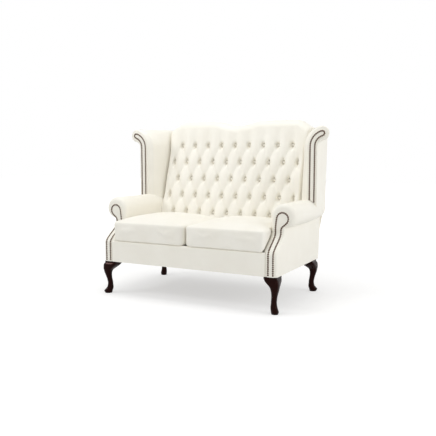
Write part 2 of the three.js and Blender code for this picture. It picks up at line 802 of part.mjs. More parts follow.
function lowerRailSolid(grow) {
  const edge = postInner - fitGap + grow;
  const [low, high] = [lowerRailFloor - grow, lowerRailTop + grow];
  const outline = [[-edge, low], [edge, low], [edge, high], [-edge, high]];
  return rearPlate([outline], railBack + backRailThickness + grow, railBack - grow);
}

// Seat frame

const frontRailFront = borderThickness + fitGap;
const frontRailRear = frontRailFront + railThickness;
const backRailRear = baseDepth - railBack;
const backRailFront = backRailRear - railThickness;
const sideRailFront = stumpRearAt(deckHeight) + fitGap;
const sideRailRear = baseDepth - railBack - postFootDepth - fitGap;
const frontRailEnd = stumpInner - fitGap;
const backRailEnd = postInner - fitGap;
const centreRailTop = baseFloor + railHeight / 2;
const kneeTop = deckHeight + armSweepDip;
const armKnee = sweepPlate(0, armWrap, legHeight + fitGap, kneeTop, coverInner, baseHalfWidth);
const kneeInner = coverInner - fitGap;
const kneeRoom = sweepPlate(-fitGap, armWrap + fitGap, legHeight, kneeTop, kneeInner, baseHalfWidth);
const frontRail = box(-frontRailEnd, frontRailEnd, frontRailFront, frontRailRear, baseFloor, railTop);
const sideRail = box(sideRailInner, timberOuter, sideRailFront, sideRailRear, baseFloor, railTop);
place('front_rail', without(frontRail, kneeRoom, mirroredSolid(kneeRoom)), 'timber');
const backRail = box(-backRailEnd, backRailEnd, backRailFront, backRailRear, baseFloor, railTop);
place('back_rail', backRail, 'timber');
placePair('side_rail', sideRail, 'timber');
place('centre_rail', box(-railThickness / 2, railThickness / 2, frontRailRear + fitGap, backRailFront - fitGap,
  baseFloor, centreRailTop), 'timber');
placePair('corner_block_front', prismZ([
  [frontRailEnd - blockReach, frontRailRear + fitGap], [frontRailEnd, frontRailRear + fitGap],
  [frontRailEnd, sideRailFront], [sideRailInner - fitGap, sideRailFront],
  [sideRailInner - fitGap, sideRailFront + blockReach]], baseFloor, baseFloor + blockRise), 'timber');
placePair('corner_block_rear', prismZ([
  [backRailEnd - blockReach, backRailFront - fitGap], [sideRailInner - fitGap, sideRailRear - blockReach],
  [sideRailInner - fitGap, sideRailRear], [backRailEnd, sideRailRear],
  [backRailEnd, backRailFront - fitGap]], baseFloor, baseFloor + blockRise), 'timber');
placePair('arm_stump', without(stumpSolid(0), boltAt(boltX, frontBoltY, fitGap)), 'timber');
placePair('arm_rail', armRailSolid(0), 'timber');
placePair('back_post', without(postSolid(0), boltAt(boltX, rearBoltY, fitGap)), 'timber');

// Arms

const armRoom = armEnvelope(fitGap);
const backPanelRoom = rearPlate([backPanelOutline(fitGap)], railBack, -overrun);
const belowNeck = armNeckHeight + fitGap;
const stumpRoom = prismX([...sweepLine(armWrap, lowEnd, belowNeck), [farBack, belowNeck], [farBack, lowEnd]],
  stumpInner, farSide);
const armPad = without(armEnvelope(0).add(armKnee), stumpRoom, stumpSolid(fitGap), armRailSolid(fitGap),
  postSolid(fitGap), wingPostSolid(fitGap), lowerRailSolid(fitGap), behindBack(), backPanelRoom);
placePair('arm_pad', armPad, 'leather');

const sidePanelTop = armRollHeight - sidePanelTuck - fitGap;
const sidePanel = prismX([...sweepLine(armWrap + fitGap, legHeight + fitGap, sidePanelTop),
  [rearAt(sidePanelTop) - railBack, sidePanelTop], [rearAt(legHeight) - railBack, legHeight + fitGap]],
baseHalfWidth - leather, baseHalfWidth);
placePair('side_panel', without(sidePanel, armPad, stumpSolid(fitGap), backPanelRoom), 'leather');

const facingTop = armHeadTop + overrun;
const facingFloor = legHeight + fitGap;
const armFacing = prismY(keyhole(facingBorder, facingFloor), -overrun, armSetback + overrun)
  .intersect(sweepPlate(-facingThickness - fitGap, -fitGap, legHeight, facingTop, armInner, farSide));
placePair('arm_facing', armFacing, 'leather');

const armNailBand = bandOutline(keyhole(nailWidth / 2, facingFloor), keyhole(-nailWidth / 2, facingFloor));
const armNails = prismY(armNailBand, -overrun, armSetback + overrun)
  .intersect(sweepPlate(-nailBack - nailRise, -nailBack, legHeight, facingTop, armInner, farSide));
placePair('arm_nail_strip', armNails, 'nail');

// Wings

const hollowFront = wingFront + armWrap + wingPostDepth + overrun;
const wingHollow = prismZ([
  [wingBulgeInner + wingWall, hollowFront], [wingOuterFront - wingWall, hollowFront],
  [postInner + postWidth + fitGap, postFrontAt(wingPanelTop) - fitGap],
  [wingInnerRear + wingWall / 2, postFrontAt(wingPanelTop) - overrun]],
armRollHeight + armRollRadius, wingPanelTop - overrun);
const wingPad = without(wingEnvelope(0), armRoom, wingPostSolid(fitGap), wingRailSolid(fitGap),
  wingPanelSlab(fitGap), postSolid(fitGap), wingHollow, topRailSolid(fitGap), behindBack(), backPanelRoom);
placePair('wing_pad', wingPad, 'leather');
placePair('wing_post', without(wingPostSolid(0), armRailSolid(fitGap)), 'timber');
placePair('wing_top_rail', wingRailSolid(0), 'timber');
placePair('wing_outer_panel', without(wingPanelSlab(0), armRoom, behindBack(), backPanelRoom), 'leather');

function wingFacingLine(half) {
  return wingOutline(wingMid - half, wingMid + half, scrollTurnFront, half, armRollHeight);
}

const facingRear = wingFront - fitGap;
const wingFacingEdge = wingFacingLine(wingNailHalf + facingBorder);
const wingFacing = prismY(wingFacingEdge, facingRear - facingThickness, facingRear);
placePair('wing_facing', without(wingFacing, armRoom), 'leather');
const wingBandOuter = wingFacingLine(wingNailHalf + nailWidth / 2);
const wingBandInner = wingFacingLine(wingNailHalf - nailWidth / 2);
const wingBand = bandOutline(wingBandOuter, wingBandInner);
const wingNails = prismY(wingBand, wingFront - nailBack - nailRise, wingFront - nailBack);
placePair('wing_nail_strip', without(wingNails, armRoom), 'nail');

// Back

let backPad = without(backEnvelope(), backRoom(fitGap), behindBack(), backPanelRoom);
tuftRows.forEach((count, row) => {
  for (let i = 0; i < count; i += 1) {
    const x = (i - (count - 1) / 2) * tuftSpacing;
    backPad = backPad.add(coveredButton(x, tuftTopHeight - row * tuftDrop));
  }
});
place('back_pad', without(backPad, armRoom, mirroredSolid(armRoom)), 'leather');
place('back_outer_panel', rearPlate([backPanelOutline(0)], leather, 0), 'leather');
place('back_top_rail', topRailSolid(0), 'timber');
place('back_lower_rail', lowerRailSolid(0), 'timber');

const stileFloor = lowerRailTop + fitGap;
const stileTop = backHeight - crestDip - topRailDrop - topRailHeight - 2 * fitGap;
const stileOutline = [[-stileWidth / 2, stileFloor], [stileWidth / 2, stileFloor],
  [stileWidth / 2, stileTop], [-stileWidth / 2, stileTop]];
place('back_stile', rearPlate([stileOutline], railBack + backRailThickness, railBack), 'timber');

const strap = (x0, x1, z0, z1) => [[x0, z0], [x1, z0], [x1, z1], [x0, z1]];
const strapFloor = lowerRailTop - overrun;
const strapTop = backHeight - shoulderDrop - topRailDrop - topRailHeight + overrun;
const straps = [];
for (let i = 0; i < webbingColumns; i += 1) {
  const x = (i - (webbingColumns - 1) / 2) * webbingSpacing;
  straps.push(strap(x - webbingWidth / 2, x + webbingWidth / 2, strapFloor, strapTop));
}
for (let j = 1; j <= webbingRows; j += 1) {
  const z = strapFloor + j * webbingSpacing;
  straps.push(strap(-shoulderStart, shoulderStart, z, z + webbingWidth));
}
const webbingRear = railBack + backRailThickness + fitGap;
place('back_webbing', rearPlate(straps, webbingRear + webbingThickness, webbingRear), 'strap');

// Seat

const borderEdge = coverInner - fitGap;
const borderRing = (y, inset) => [[-borderEdge, legHeight + fitGap], [borderEdge, legHeight + fitGap],
  [borderEdge, deckHeight - inset], [-borderEdge, deckHeight - inset]].map(([x, z]) => new THREE.Vector3(x, y, z));
const border = [borderRing(0, leather), borderRing(leather / 4, leather / 4), borderRing(leather, 0),
  borderRing(borderThickness, 0)];
place('front_border', loft(border), 'leather');
const deckEdge = armInner - fitGap;
place('seat_deck', box(-deckEdge, deckEdge, borderThickness + fitGap, backRailFront, railTop + fitGap, deckHeight),
  'cloth');

function springOutline(y0, y1, middleX) {
  const steps = springWaves * springWaveSteps;
  const line = [];
  for (let i = 0; i <= steps; i += 1) {
    const t = i / steps;
    const swing = springSwing * Math.sin(2 * Math.PI * springWaves * t);
    line.push(new THREE.Vector2(middleX + swing, mix(y0, y1, t)));
  }
  const side = (sign) => line.map((p, i) => {
    const along = line[Math.min(steps, i + 1)].clone().sub(line[Math.max(0, i - 1)]).normalize();
    const across = (sign * springWire) / 2;
    const atEnd = i === 0 || i === steps;
    return [p.x - along.y * across, atEnd ? p.y : p.y + along.x * across];
  });
  return [...side(1), ...side(-1).reverse()];
}

for (let i = 0; i < springCount; i += 1) {
  const x = (i - (springCount - 1) / 2) * ((2 * armInner) / (springCount + 1));
  const outline = springOutline(frontRailRear + fitGap, backRailFront - fitGap, x);
  place(`seat_spring_${i + 1}`, prismZ(outline, railTop - springWire, railTop), 'steel');
}

const coverTop = baseFloor - fitGap;
const notchX = baseHalfWidth - fitGap - legBlock - fitGap;
const notchFront = legBlock + fitGap;
const notchRear = baseDepth - rearLegInset - legBlock - fitGap;
place('dust_cover', prismZ([[-notchX, borderThickness], [notchX, borderThickness], [notchX, notchFront],
  [timberOuter, notchFront], [timberOuter, notchRear], [notchX, notchRear], [notchX, backRailRear],
  [-notchX, backRailRear], [-notchX, notchRear], [-timberOuter, notchRear], [-timberOuter, notchFront],
  [-notchX, notchFront]], coverTop - coverThickness, coverTop), 'cloth');

// Seat cushions: crowned, with drawn-in sides, and cut to the arm fronts

function cushionRing(level, inset, crown = 0) {
  const z = deckHeight + fitGap + level;
  const [front, rear] = [inset - cushionOverhang, pitAt(z) - tuftRise - cushionClearance - inset];
  const [x0, x1] = [2 * fitGap + inset, cushionHalfSpan - inset];
  const corner = Math.max(cushionCorner - inset, cushionLeastCorner);
  const centres = [[x1 - corner, front + corner], [x1 - corner, rear - corner],
    [x0 + corner, rear - corner], [x0 + corner, front + corner]];
  const onCorner = (side, angle) => {
    const [cx, cy] = centres[side % 4];
    return [cx + corner * Math.cos(angle), cy + corner * Math.sin(angle)];
  };
  const [midX, midY] = [(x0 + x1) / 2, (front + rear) / 2];
  const [halfX, halfY] = [(x1 - x0) / 2 + inset, (rear - front) / 2 + inset];
  const ring = [];
  for (let side = 0; side < 4; side += 1) {
    const start = ((side - 1) * Math.PI) / 2;
    for (let i = 0; i <= cushionCornerSteps; i += 1) {
      ring.push(onCorner(side, start + (Math.PI * i) / (2 * cushionCornerSteps)));
    }
    const [here, next] = [onCorner(side, start + Math.PI / 2), onCorner(side + 1, start + Math.PI / 2)];
    for (let i = 1; i < cushionSideSteps; i += 1) {
      const t = i / cushionSideSteps;
      ring.push([mix(here[0], next[0], t), mix(here[1], next[1], t)]);
    }
  }
  return ring.map(([x, y]) => {
    const [acrossShare, alongShare] = [Math.abs((x - midX) / halfX), Math.abs((y - midY) / halfY)];
    const riseShare = (1 - acrossShare ** cushionCrownPower) * (1 - alongShare ** cushionCrownPower);
    return new THREE.Vector3(x, y, z + crown * riseShare);
  });
}

function cushion() {
  const rings = [];
  for (const share of cushionRoundingShares) {
    const angle = (share * Math.PI) / 2;
    const inset = cushionFootRounding * (1 - Math.cos(angle));
    rings.push(cushionRing(inset, cushionFootRounding * (1 - Math.sin(angle))));
  }
  rings.push(cushionRing(cushionEdge / 2, cushionDrawn));
  for (const share of cushionRoundingShares) {
    const angle = (share * Math.PI) / 2;
    const level = cushionEdge - cushionRounding * (1 - Math.sin(angle));
    rings.push(cushionRing(level, cushionRounding * (1 - Math.cos(angle))));
  }
  for (const share of cushionTopShares) {
    rings.push(cushionRing(cushionEdge, mix(cushionRounding, cushionHalfSpan / 2, share), cushionCrown));
  }
  return toSolid(loft(rings, 'z', true));
}

const armZone = prismX([...sweepLine(-nailBack - nailRise - cushionClearance, lowEnd, armRollHeight),
  [farBack, armRollHeight], [farBack, lowEnd]], armInner - cushionClearance / 2, farSide);
placePair('seat_cushion', without(cushion(), armZone), 'leather');

// The origin is at the middle of the floor under the settee
const extent = new THREE.Box3().setFromObject(settee);
settee.position.set(0, -(extent.min.y + extent.max.y) / 2, -extent.min.z);

export default settee;
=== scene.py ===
import math
import bpy
import bmesh
import numpy as np
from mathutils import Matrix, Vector


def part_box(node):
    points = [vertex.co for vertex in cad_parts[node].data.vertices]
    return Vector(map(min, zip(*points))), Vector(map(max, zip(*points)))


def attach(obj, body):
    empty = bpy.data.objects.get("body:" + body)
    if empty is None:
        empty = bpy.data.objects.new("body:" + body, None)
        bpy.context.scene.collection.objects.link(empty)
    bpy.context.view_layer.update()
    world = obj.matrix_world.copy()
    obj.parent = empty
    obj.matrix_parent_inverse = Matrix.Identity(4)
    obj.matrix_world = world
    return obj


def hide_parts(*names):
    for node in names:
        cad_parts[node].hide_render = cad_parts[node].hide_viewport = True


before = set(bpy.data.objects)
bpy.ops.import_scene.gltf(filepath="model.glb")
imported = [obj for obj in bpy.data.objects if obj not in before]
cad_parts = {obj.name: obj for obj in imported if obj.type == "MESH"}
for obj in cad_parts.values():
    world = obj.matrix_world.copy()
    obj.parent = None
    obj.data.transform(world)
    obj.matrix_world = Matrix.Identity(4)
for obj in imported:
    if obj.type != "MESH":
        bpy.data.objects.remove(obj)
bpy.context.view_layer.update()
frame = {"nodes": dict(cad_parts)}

# High back settee in cream leather. The sizes are in millimetres in the frame in which the front
# border stands at y = 0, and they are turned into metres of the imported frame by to_frame().
scene = bpy.context.scene
MM = 0.001
Y_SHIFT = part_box("front_border")[0].y

# Sizes shared with the solids
BACK_HEIGHT = 1054
BASE_HALF_WIDTH = 561
BASE_DEPTH = 682
LEG_HEIGHT = 198
CLEARANCE = 0.3
DECK_HEIGHT = 322
RAKE = 0.128
LEG_BLOCK = 77
REAR_LEG_INSET = 31
LEG_RISE = [1, 0.95, 0.91, 0.865, 0.82, 0.77, 0.71, 0.64, 0.55, 0.44, 0.3, 0.19, 0.12, 0.06, 0]
LEG_CENTRE = [0.5, 0.5, 0.452, 0.402, 0.345, 0.27, 0.205, 0.19, 0.213, 0.257, 0.302, 0.293, 0.235, 0.175,
              0.19]
LEG_HALF = [0.5, 0.5, 0.51, 0.49, 0.445, 0.385, 0.32, 0.285, 0.242, 0.213, 0.208, 0.238, 0.26, 0.27, 0.235]
LEG_TOE = [1, 1, 1.09, 1.1, 1.12, 1.12, 1.05, 1, 1, 1, 1, 1.03, 1.18, 1.25, 1.15]
LEG_SQUARE = [16, 12, 6, 5, 4, 3.2, 2.7, 2.4, 2.2, 2, 2, 2, 2, 2, 2]
ARM_INNER = 480
ARM_RADIUS = 71
ARM_REAR_RADIUS = 53
ARM_HEIGHT = 506
ARM_CREASE_DROP = 60
ARM_SETBACK = 108
ARM_STEM = 20
ARM_SWEEP = (312, 424)
ARM_TAPER = (415, 760)
ARM_LAST = 700
ARM_ROUNDING = 24
STUMP_INNER = 500
NAIL_INNER = 513
NAIL_OUTER = 541
ARM_HEAD = (549, 498, 34)
ARM_NECK = (509, 448)
ARM_HEAD_EXIT = 0.86
FACING_BORDER = 5
FACING = 4
WING_FRONT = 468
WING_INNER_FRONT = 557
WING_OUTER_FRONT = 615
WING_INNER_REAR = 500.5
WING_OUTER_REAR = 577
WING_BULGE = 528
WING_BULGE_RUN = 30
WING_TOP = 1004
SCROLL_RADIUS = 77
SCROLL_TURN = (1.33, 0.05)
SCROLL_HEAD = 43
SCROLL_HOLD = 36
WING_ROUNDING = 20
WING_NAIL_HALF = 14
ROLL_GAP = 0.5
BACK_HALF = 500
TUFT_PITCH = 98.44
TUFT_DROP = 108.1
TUFT_TOP = 897
TUFT_DEPTH = 664
TUFT_SLOPE = 0.2942
TUFT_RISE = 30
FOLD_RISE = 20
PIT_SINK = 5
PIT_SPREAD = 0.17
WELL_DEPTH = 6.5
WELL_RADIUS = 10.5
TUFT_ROWS = [9, 10, 9, 10, 9]
SEAM_DEPTH = 28
SEAM_RUN = 40
SEAM_BULGE = 13
SEAM_CONTACT = -12
CREST_DIP = (32, 190)
SHOULDER = (400, 115, 52)
CREST_FRONT = 44
CREST_REAR = 24
NAIL_PITCH = 11.1
CUSHION_SHRINK = 0.002
CUSHION_EDGE = 117
CUSHION_CROWN = 41
EDGE_LIFT = 5
EAR_START = 472
EAR_SHARE = 0.55
EAR_PRESS = 11
CLOTH_FRAMES = 20
NAIL_RADIUS = 5.5
NAIL_RISE = 2.6
NAIL_SINK = 0.8
BUTTON_RADIUS = 9.2
BUTTON_RISE = 14
ACROSS = np.array([1.0, 0, 0])


def smooth(t):
    t = np.clip(t, 0, 1)
    return t * t * (3 - 2 * t)


def mix(a, b, t):
    return a + (b - a) * t


def rear_at(z):
    return BASE_DEPTH + RAKE * (z - LEG_HEIGHT)


def pit_at(z):
    return TUFT_DEPTH - TUFT_SLOPE * (TUFT_TOP - z)


def seam_bulge(z):
    """How far the wing's padding pushes the seam inwards between the arm and the scroll."""
    return SEAM_BULGE * smooth((z - 470) / 110) * (1 - smooth((z - 850) / 120))


def crest_at(x):
    x = np.abs(x)
    return (BACK_HEIGHT - CREST_DIP[0] * (1 - smooth(x / CREST_DIP[1]))
            - SHOULDER[2] * smooth((x - SHOULDER[0]) / SHOULDER[1]))


def sweep_at(z):
    return ARM_SETBACK * smooth((z - ARM_SWEEP[0]) / (ARM_SWEEP[1] - ARM_SWEEP[0]))


def curve(knots, values, at):
    """A smooth curve through the points, without overshoot between them."""
    knots, values = np.asarray(knots, float), np.asarray(values, float)
    order = np.argsort(knots)
    x, y = knots[order], values[order]
    step = np.diff(x)
    slope = np.diff(y) / step
    tangent = np.zeros_like(y)
    for k in range(1, len(y) - 1):
        if slope[k - 1] * slope[k] > 0:
            tangent[k] = 2 * slope[k - 1] * slope[k] / (slope[k - 1] + slope[k])
    k = np.clip(np.searchsorted(x, at) - 1, 0, len(step) - 1)
    t = (at - x[k]) / step[k]
    return ((2 * t ** 3 - 3 * t ** 2 + 1) * y[k] + (t ** 3 - 2 * t ** 2 + t) * step[k] * tangent[k]
            + (3 * t ** 2 - 2 * t ** 3) * y[k + 1] + (t ** 3 - t ** 2) * step[k] * tangent[k + 1])


# ---- Materials

def new_material(name):
    mat = bpy.data.materials.new(name)
    mat.use_nodes = True
    nodes = mat.node_tree.nodes
    return mat, nodes, mat.node_tree.links, nodes["Principled BSDF"]


def noise(nodes, links, coords, scale, detail=4.0, roughness=0.5):
    tex = nodes.new("ShaderNodeTexNoise")
    tex.inputs["Scale"].default_value = scale
    tex.inputs["Detail"].default_value = detail
    tex.inputs["Roughness"].default_value = roughness
    links.new(coords, tex.inputs["Vector"])
    return tex


def ramp(nodes, links, factor, stops):
    node = nodes.new("ShaderNodeValToRGB")
    node.color_ramp.elements[0].position = stops[0][0]
    node.color_ramp.elements[0].color = (*stops[0][1], 1)
    node.color_ramp.elements[-1].position = stops[-1][0]
    node.color_ramp.elements[-1].color = (*stops[-1][1], 1)
    for position, color in stops[1:-1]:
        node.color_ramp.elements.new(position).color = (*color, 1)
    links.new(factor, node.inputs["Fac"])
    return node


def bump(nodes, links, height, strength, distance, below=None):
    node = nodes.new("ShaderNodeBump")
    node.inputs["Strength"].default_value = strength
    node.inputs["Distance"].default_value = distance
    links.new(height, node.inputs["Height"])
    if below is not None:
        links.new(below.outputs["Normal"], node.inputs["Normal"])
    return node


def leather(name, light, dark, roughness):
    mat, nodes, links, shader = new_material(name)
    coords = nodes.new("ShaderNodeTexCoord").outputs["Object"]
    patches = noise(nodes, links, coords, 7, 3)
    tint = ramp(nodes, links, patches.outputs["Fac"], [(0.3, dark), (0.7, light)])
    # Painted shade: ambient occlusion within 12 mm darkens the base colour towards a brownish grey in the
    # button pits, seams and creases, where shade falls.
    crevice = nodes.new("ShaderNodeAmbientOcclusion")
    crevice.samples = 8
    crevice.only_local = True
    crevice.inputs["Distance"].default_value = 0.012
    painted_crevice_shade = ramp(nodes, links, crevice.outputs["AO"], [(0.1, (0.8, 0.76, 0.68)), (0.6, (1, 1, 1))])
    both = nodes.new("ShaderNodeMix")
    both.data_type = "RGBA"
    both.blend_type = "MULTIPLY"
    both.inputs["Factor"].default_value = 1
    links.new(tint.outputs["Color"], both.inputs["A"])
    links.new(painted_crevice_shade.outputs["Color"], both.inputs["B"])
    links.new(both.outputs["Result"], shader.inputs["Base Color"])
    rough = nodes.new("ShaderNodeMapRange")
    rough.inputs["To Min"].default_value = roughness - 0.06
    rough.inputs["To Max"].default_value = roughness + 0.08
    links.new(noise(nodes, links, coords, 40, 3).outputs["Fac"], rough.inputs["Value"])
    links.new(rough.outputs["Result"], shader.inputs["Roughness"])
    shader.inputs["Specular IOR Level"].default_value = 0.4
    creases = noise(nodes, links, coords, 26, 5, 0.6)
    soft = bump(nodes, links, creases.outputs["Fac"], 0.14, 0.004)
    cells = nodes.new("ShaderNodeTexVoronoi")
    cells.feature = "SMOOTH_F1"
    cells.inputs["Scale"].default_value = 620
    cells.inputs["Smoothness"].default_value = 0.6
    links.new(coords, cells.inputs["Vector"])
    grain = bump(nodes, links, cells.outputs["Distance"], 0.16, 0.0006, soft)
    links.new(grain.outputs["Normal"], shader.inputs["Normal"])
    return mat


def polished_wood():
    mat, nodes, links, shader = new_material("polished_wood")
    coords = nodes.new("ShaderNodeTexCoord").outputs["Object"]
    stretch = nodes.new("ShaderNodeMapping")
    stretch.inputs["Scale"].default_value = (1, 1, 0.09)
    links.new(coords, stretch.inputs["Vector"])
    grain = noise(nodes, links, stretch.outputs["Vector"], 160, 6, 0.65)
    tint = ramp(nodes, links, grain.outputs["Fac"], [(0.3, (0.004, 0.0007, 0.0006)),
                                                     (0.55, (0.007, 0.0014, 0.001)),
                                                     (0.75, (0.014, 0.003, 0.002))])
    links.new(tint.outputs["Color"], shader.inputs["Base Color"])
    shader.inputs["Roughness"].default_value = 0.1
    shader.inputs["Specular IOR Level"].default_value = 0.13
    shader.inputs["Specular Tint"].default_value = (1, 0.5, 0.44, 1)
    ripple = noise(nodes, links, coords, 30, 2)
    waves = bump(nodes, links, ripple.outputs["Fac"], 0.06, 0.002)
    lines = bump(nodes, links, grain.outputs["Fac"], 0.05, 0.0004, waves)
    links.new(lines.outputs["Normal"], shader.inputs["Normal"])
    return mat


def frame_timber():
    mat, nodes, links, shader = new_material("frame_timber")
    coords = nodes.new("ShaderNodeTexCoord").outputs["Object"]
    stretch = nodes.new("ShaderNodeMapping")
    stretch.inputs["Scale"].default_value = (0.12, 1, 1)
    links.new(coords, stretch.inputs["Vector"])
    grain = noise(nodes, links, stretch.outputs["Vector"], 120, 6, 0.6)
    tint = ramp(nodes, links, grain.outputs["Fac"], [(0.3, (0.40, 0.24, 0.12)), (0.7, (0.62, 0.43, 0.25))])
    links.new(tint.outputs["Color"], shader.inputs["Base Color"])
    shader.inputs["Roughness"].default_value = 0.75
    lines = bump(nodes, links, grain.outputs["Fac"], 0.2, 0.0008)
    links.new(lines.outputs["Normal"], shader.inputs["Normal"])
    return mat


def metal(name, light, dark, roughness, spread, scale):
    mat, nodes, links, shader = new_material(name)
    coords = nodes.new("ShaderNodeTexCoord").outputs["Object"]
    marks = noise(nodes, links, coords, scale, 4, 0.6)
    tint = ramp(nodes, links, marks.outputs["Fac"], [(0.32, dark), (0.68, light)])
    links.new(tint.outputs["Color"], shader.inputs["Base Color"])
    rough = nodes.new("ShaderNodeMapRange")
    rough.inputs["To Min"].default_value = roughness
    rough.inputs["To Max"].default_value = roughness + spread
    links.new(marks.outputs["Fac"], rough.inputs["Value"])
    links.new(rough.outputs["Result"], shader.inputs["Roughness"])
    shader.inputs["Metallic"].default_value = 1
    dents = bump(nodes, links, marks.outputs["Fac"], 0.15, 0.0003)
    links.new(dents.outputs["Normal"], shader.inputs["Normal"])
    return mat


def woven(name, light, dark, threads, roughness=0.9):
    mat, nodes, links, shader = new_material(name)
    coords = nodes.new("ShaderNodeTexCoord").outputs["Object"]
    total = None
    for axis in ("X", "Y"):
        wave = nodes.new("ShaderNodeTexWave")
        wave.bands_direction = axis
        wave.inputs["Scale"].default_value = threads
        wave.inputs["Distortion"].default_value = 0.6
        wave.inputs["Detail"].default_value = 2
        links.new(coords, wave.inputs["Vector"])
        if total is None:
            total = wave.outputs["Fac"]
        else:
            both = nodes.new("ShaderNodeMath")
            both.operation = "MULTIPLY"
            links.new(total, both.inputs[0])
            links.new(wave.outputs["Fac"], both.inputs[1])
            total = both.outputs["Value"]
    tint = ramp(nodes, links, total, [(0.0, dark), (1.0, light)])
    links.new(tint.outputs["Color"], shader.inputs["Base Color"])
    shader.inputs["Roughness"].default_value = roughness
    links.new(bump(nodes, links, total, 0.4, 0.0006).outputs["Normal"], shader.inputs["Normal"])
    return mat


LEATHER = leather("cream_leather", (0.905, 0.875, 0.79), (0.875, 0.84, 0.75), 0.46)
CUSHION_LEATHER = leather("cushion_leather", (0.895, 0.865, 0.785), (0.865, 0.83, 0.74), 0.5)
WOOD = polished_wood()
TIMBER = frame_timber()
NAIL = metal("antique_nail", (0.17, 0.115, 0.085), (0.05, 0.031, 0.022), 0.3, 0.2, 900)
STEEL = metal("spring_steel", (0.55, 0.55, 0.56), (0.34, 0.34, 0.35), 0.3, 0.2, 300)
LINING = woven("lining_cloth", (0.032, 0.032, 0.035), (0.012, 0.012, 0.014), 900)
DECK_CLOTH = woven("deck_cloth", (0.66, 0.62, 0.54), (0.5, 0.46, 0.39), 900)
STRAP = woven("strap_webbing", (0.50, 0.36, 0.20), (0.28, 0.19, 0.10), 420)


# ---- Mesh helpers

def to_frame(points):
    p = np.array(points, float) * MM
    p[:, 1] += Y_SHIFT
    return p


def piece(name, points, faces, material, stands_for=(), body="settee", sharp=38, mirror=False):
    """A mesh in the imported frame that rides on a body, and stands for the named solids."""
    p = to_frame(points)
    if mirror:
        p[:, 0] *= -1
        faces = [f[::-1] for f in faces]
    mesh = bpy.data.meshes.new(name)
    mesh.from_pydata(p.tolist(), [], [tuple(int(i) for i in f) for f in faces])
    bm = bmesh.new()
    bm.from_mesh(mesh)
    bmesh.ops.remove_doubles(bm, verts=bm.verts, dist=1e-6)
    bmesh.ops.recalc_face_normals(bm, faces=bm.faces)
    for edge in bm.edges:
        edge.smooth = not edge.is_manifold or edge.calc_face_angle(0) < math.radians(sharp)
    for face in bm.faces:
        face.smooth = True
    bm.to_mesh(mesh)
    bm.free()
    obj = bpy.data.objects.new(name, mesh)
    bpy.context.scene.collection.objects.link(obj)
    mesh.materials.append(material)
    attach(obj, body)
    if stands_for:
        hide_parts(*stands_for)
    return obj


def pair(name, points, faces, material, nodes=(), body=None, sharp=38):
    for side, mirror in (("right", False), ("left", True)):
        piece(f"{name}_{side}", points, faces, material, [f"{n}_{side}" for n in nodes],
              body.format(side) if body else "settee", sharp, mirror)


def loft(rings, caps=True):
    """Joins closed rings of equal length; the ends are closed by one face each."""
    rings = np.asarray(rings, float)
    count = rings.shape[1]
    faces = []
    for k in range(len(rings) - 1):
        a, b = k * count, (k + 1) * count
        faces += [(a + i, a + (i + 1) % count, b + (i + 1) % count, b + i) for i in range(count)]
    if caps:
        faces.append(tuple(range(count))[::-1])
        faces.append(tuple(range((len(rings) - 1) * count, len(rings) * count)))
    return rings.reshape(-1, 3), faces


def slab(grid, thickness, normals=None):
    """A closed sheet from a grid of points, given its thickness against the normals."""
    grid = np.asarray(grid, float)
    rows, cols = grid.shape[:2]
    if normals is None:
        du = np.gradient(grid, axis=0)
        dv = np.gradient(grid, axis=1)
        normals = np.cross(du, dv)
        normals /= np.linalg.norm(normals, axis=2, keepdims=True) + 1e-12
    back = grid - normals * thickness
    points = np.vstack([grid.reshape(-1, 3), back.reshape(-1, 3)])
    n = rows * cols
    faces = []
    for r in range(rows - 1):
        for c in range(cols - 1):
            a = r * cols + c
            faces.append((a, a + cols, a + cols + 1, a + 1))
            faces.append((n + a, n + a + 1, n + a + cols + 1, n + a + cols))
    edge = ([(0, c) for c in range(cols)] + [(r, cols - 1) for r in range(1, rows)]
            + [(rows - 1, c) for c in range(cols - 2, -1, -1)] + [(r, 0) for r in range(rows - 2, 0, -1)])
    loop = [r * cols + c for r, c in edge]
    for i, a in enumerate(loop):
        b = loop[(i + 1) % len(loop)]
        faces.append((a, b, n + b, n + a))
    return points, faces


# ---- Legs

def leg_rings(corner_x, corner_y, towards_x, towards_y, rings=46, sides=56):
    out = []
    bend = np.concatenate([np.linspace(1, 0.95, 3), np.linspace(0.94, 0.02, rings), [0.01, 0.0]])
    for share in bend:
        centre, half, square, toe = (float(curve(LEG_RISE, values, share))
                                     for values in (LEG_CENTRE, LEG_HALF, LEG_SQUARE, LEG_TOE))
        z = LEG_HEIGHT * share - (0.3 if share == 1 else 0)
        angle = 2 * math.pi * (np.arange(sides) + 0.5) / sides
        power = 2 / square
        sx = np.sign(np.cos(angle)) * np.abs(np.cos(angle)) ** power * half * LEG_BLOCK
        sy = np.sign(np.sin(angle)) * np.abs(np.sin(angle)) ** power * half * LEG_BLOCK
        along, wide = (sx + sy) / 2 * toe, (sx - sy) / 2
        dx, dy = centre * LEG_BLOCK + along + wide, centre * LEG_BLOCK + along - wide
        out.append(np.stack([corner_x + towards_x * dx, corner_y + towards_y * dy, np.full(sides, z)], 1))
    return out


LEG_X = BASE_HALF_WIDTH - 0.3
for place, corner_y, inwards in (("front", 0, 1), ("rear", BASE_DEPTH - REAR_LEG_INSET, -1)):
    points, faces = loft(leg_rings(LEG_X, corner_y, -1, inwards))
    pair(f"polished_leg_{place}", points, faces, WOOD, [f"leg_{place}"], sharp=50)


# ---- Arms

def roll_radius(y):
    return mix(ARM_RADIUS, ARM_REAR_RADIUS, smooth((y - ARM_TAPER[0]) / (ARM_TAPER[1] - ARM_TAPER[0])))


